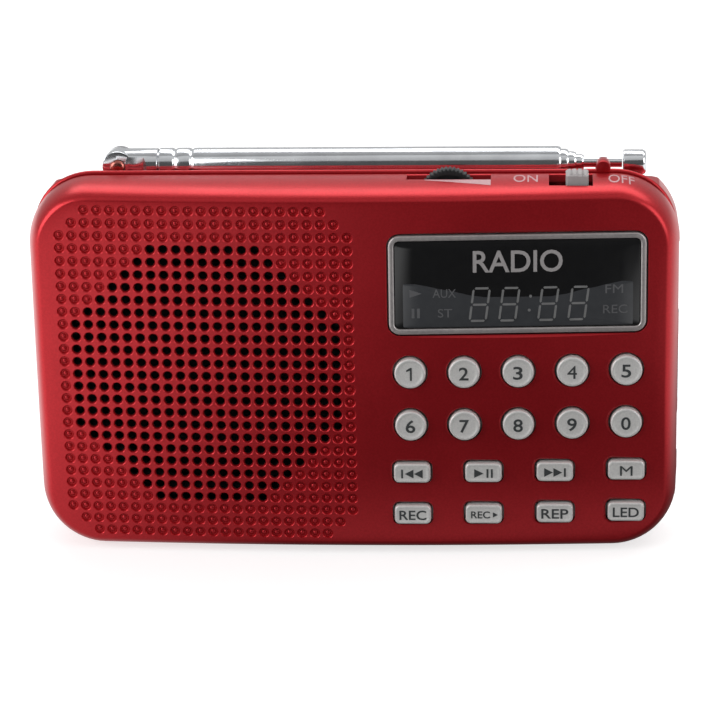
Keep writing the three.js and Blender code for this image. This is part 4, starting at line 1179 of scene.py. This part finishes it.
def make_jack():
    y, z = JACK_Y, JACK_Z
    housing = block(47.5, 56.3, y - 2.5, y + 2.5, z - 2.5, z + 2.5, 0.15)
    barrel = [(0, 55.3), (2.5, 55.3), (2.5, 59.3), (2.35, 59.45), (0, 59.5)]
    bore = [(0, 49), (1.75, 49), (1.75, 59.2), (2.0, 59.5), (2.0, 62), (0, 62)]
    piece("earphone_jack_barrel", housing, "casing", BLACK, ["earphone_jack"],
          add=[turned_x(y, z, barrel, 40)], cut=[turned_x(y, z, bore, 40)])


def dress_kept_nodes():
    """The CAD pieces whose shape is right keep their mesh and get their material."""
    kept = {
        "led_display": DISPLAY, "keypad_membrane": RUBBER, "main_board": BOARD, "speaker_frame": BLACK_PAINT_AND_SHADE,
        "speaker_cone": PAPER, "speaker_magnet": FERRITE, "battery": WRAP, "battery_terminals": BRASS,
        "volume_pot": BLACK, "power_switch": SOCKET, "usb_socket": SOCKET, "card_socket": SOCKET,
        "charge_socket": SOCKET, "antenna_bracket": STEEL, "board_screw_1": SCREW, "board_screw_2": SCREW,
        "speaker_lead": RED_WIRE, "antenna_lead": BLACK_WIRE,
    }
    for name, material in kept.items():
        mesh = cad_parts[name].data
        mesh.materials.clear()
        mesh.materials.append(material)


# ==== Floor, world and lights ====

FLOOR_DARK = 0.06                  # how bright the radio sees the floor where it is darkest


def shade_apart(nodes, links, light, seen, output):
    """Gives the camera one shader to see, and the radio another to be lit by and to mirror."""
    rays = nodes.new("ShaderNodeLightPath")
    mix = nodes.new("ShaderNodeMixShader")
    links.new(rays.outputs["Is Camera Ray"], mix.inputs[0])
    links.new(light, mix.inputs[1])
    links.new(seen, mix.inputs[2])
    links.new(mix.outputs[0], nodes[output].inputs["Surface"])


def make_floor():
    """A pale floor to look at. For the radio it glows as painted bounce light, bright at the sides and close
    in front, with a painted shadow right at the radio's foot.
    """
    bpy.ops.mesh.primitive_plane_add(size=12)
    floor = bpy.context.object
    floor.name = "floor"
    material = bpy.data.materials.new("floor_pale")
    material.use_nodes = True
    nodes, links = material.node_tree.nodes, material.node_tree.links
    shader = nodes["Principled BSDF"]
    look = {
        "Base Color": (0.5, 0.5, 0.5, 1), "Roughness": 0.9, "Specular IOR Level": 0.0,
        "Emission Color": (1, 1, 1, 1), "Emission Strength": 0.7,
    }
    for socket, value in look.items():
        shader.inputs[socket].default_value = value
    place = nodes.new("ShaderNodeSeparateXYZ")
    links.new(nodes.new("ShaderNodeTexCoord").outputs["Object"], place.inputs[0])

    def ramp(axis, *spans):
        return map_range(nodes, links, place.outputs[axis], spans, smooth=True)

    def math_of(operation, a, b):
        node = nodes.new("ShaderNodeMath")
        node.operation = operation
        links.new(a, node.inputs[0])
        links.new(b, node.inputs[1])
        return node.outputs[0]

    # Painted bounce light: the floor glows for the radio at its left and right.
    left = math_of("MULTIPLY", ramp("X", 0.01, -0.12, 0, 1.45), ramp("Y", -0.8, -0.4, 0, 1))
    right = math_of("MULTIPLY", ramp("X", 0.06, 0.15, 0, 1.15), ramp("Y", -0.32, -0.14, 0, 1))
    # Painted light close in front of the radio, dimmed to a painted shadow where the floor meets it.
    near = math_of("MULTIPLY", ramp("Y", -0.05, 0.0, FLOOR_DARK, 0.56), ramp("Y", -0.016, -0.0115, 1, 0.2))
    bounce = nodes.new("ShaderNodeEmission")
    links.new(math_of("MAXIMUM", math_of("MAXIMUM", left, right), near), bounce.inputs["Strength"])
    shade_apart(nodes, links, bounce.outputs[0], shader.outputs[0], "Material Output")
    floor.data.materials.append(material)


def make_world():
    """White all round to look at; as light it is bright behind the radio and dim in front of it."""
    world = bpy.data.worlds.new("studio")
    scene.world = world
    world.use_nodes = True
    nodes, links = world.node_tree.nodes, world.node_tree.links
    split = nodes.new("ShaderNodeSeparateXYZ")
    links.new(nodes.new("ShaderNodeTexCoord").outputs["Generated"], split.inputs[0])
    light = nodes["Background"]
    light.inputs["Color"].default_value = (1, 1, 1, 1)
    links.new(map_range(nodes, links, split.outputs["Y"], (-0.75, 0.3, 0.08, 0.56)), light.inputs["Strength"])
    seen = nodes.new("ShaderNodeBackground")
    seen.inputs["Color"].default_value = (1, 1, 1, 1)
    shade_apart(nodes, links, light.outputs[0], seen.outputs[0], "World Output")


def softbox(name, place, width, height, radiance):
    """A rectangular soft light that faces the radio; its power follows from how bright its face is."""
    data = bpy.data.lights.new(name, "AREA")
    data.shape = "RECTANGLE"
    data.size = width
    data.size_y = height
    data.energy = radiance * width * height * math.pi
    light = bpy.data.objects.new(name, data)
    scene.collection.objects.link(light)
    target = Vector((0, 0, 0.04))
    light.location = place
    light.rotation_euler = (target - Vector(place)).to_track_quat("-Z", "Y").to_euler()


def make_lights():
    softbox("light_top", (0.12, 0.38, 0.86), 1.5, 0.42, 2.7)
    softbox("light_left", (-0.90, -0.50, 0.42), 0.7, 0.7, 4.0)
    softbox("light_right", (0.95, -0.50, 0.42), 0.6, 0.7, 2.8)
    softbox("light_front", (0.1, -0.90, 1.24), 3.0, 1.1, 0.42)
    scene.view_settings.view_transform = "Standard"
    scene.view_settings.look = "None"


# ==== Assembly ====

make_floor()
make_world()
make_lights()
front = make_front_shell()
make_rear_shell()
make_battery_cover()
make_display()
make_keys()
make_top_prints(front)
make_wheel()
make_slider()
make_antenna()
make_screws()
make_torch()
make_jack()
dress_kept_nodes()
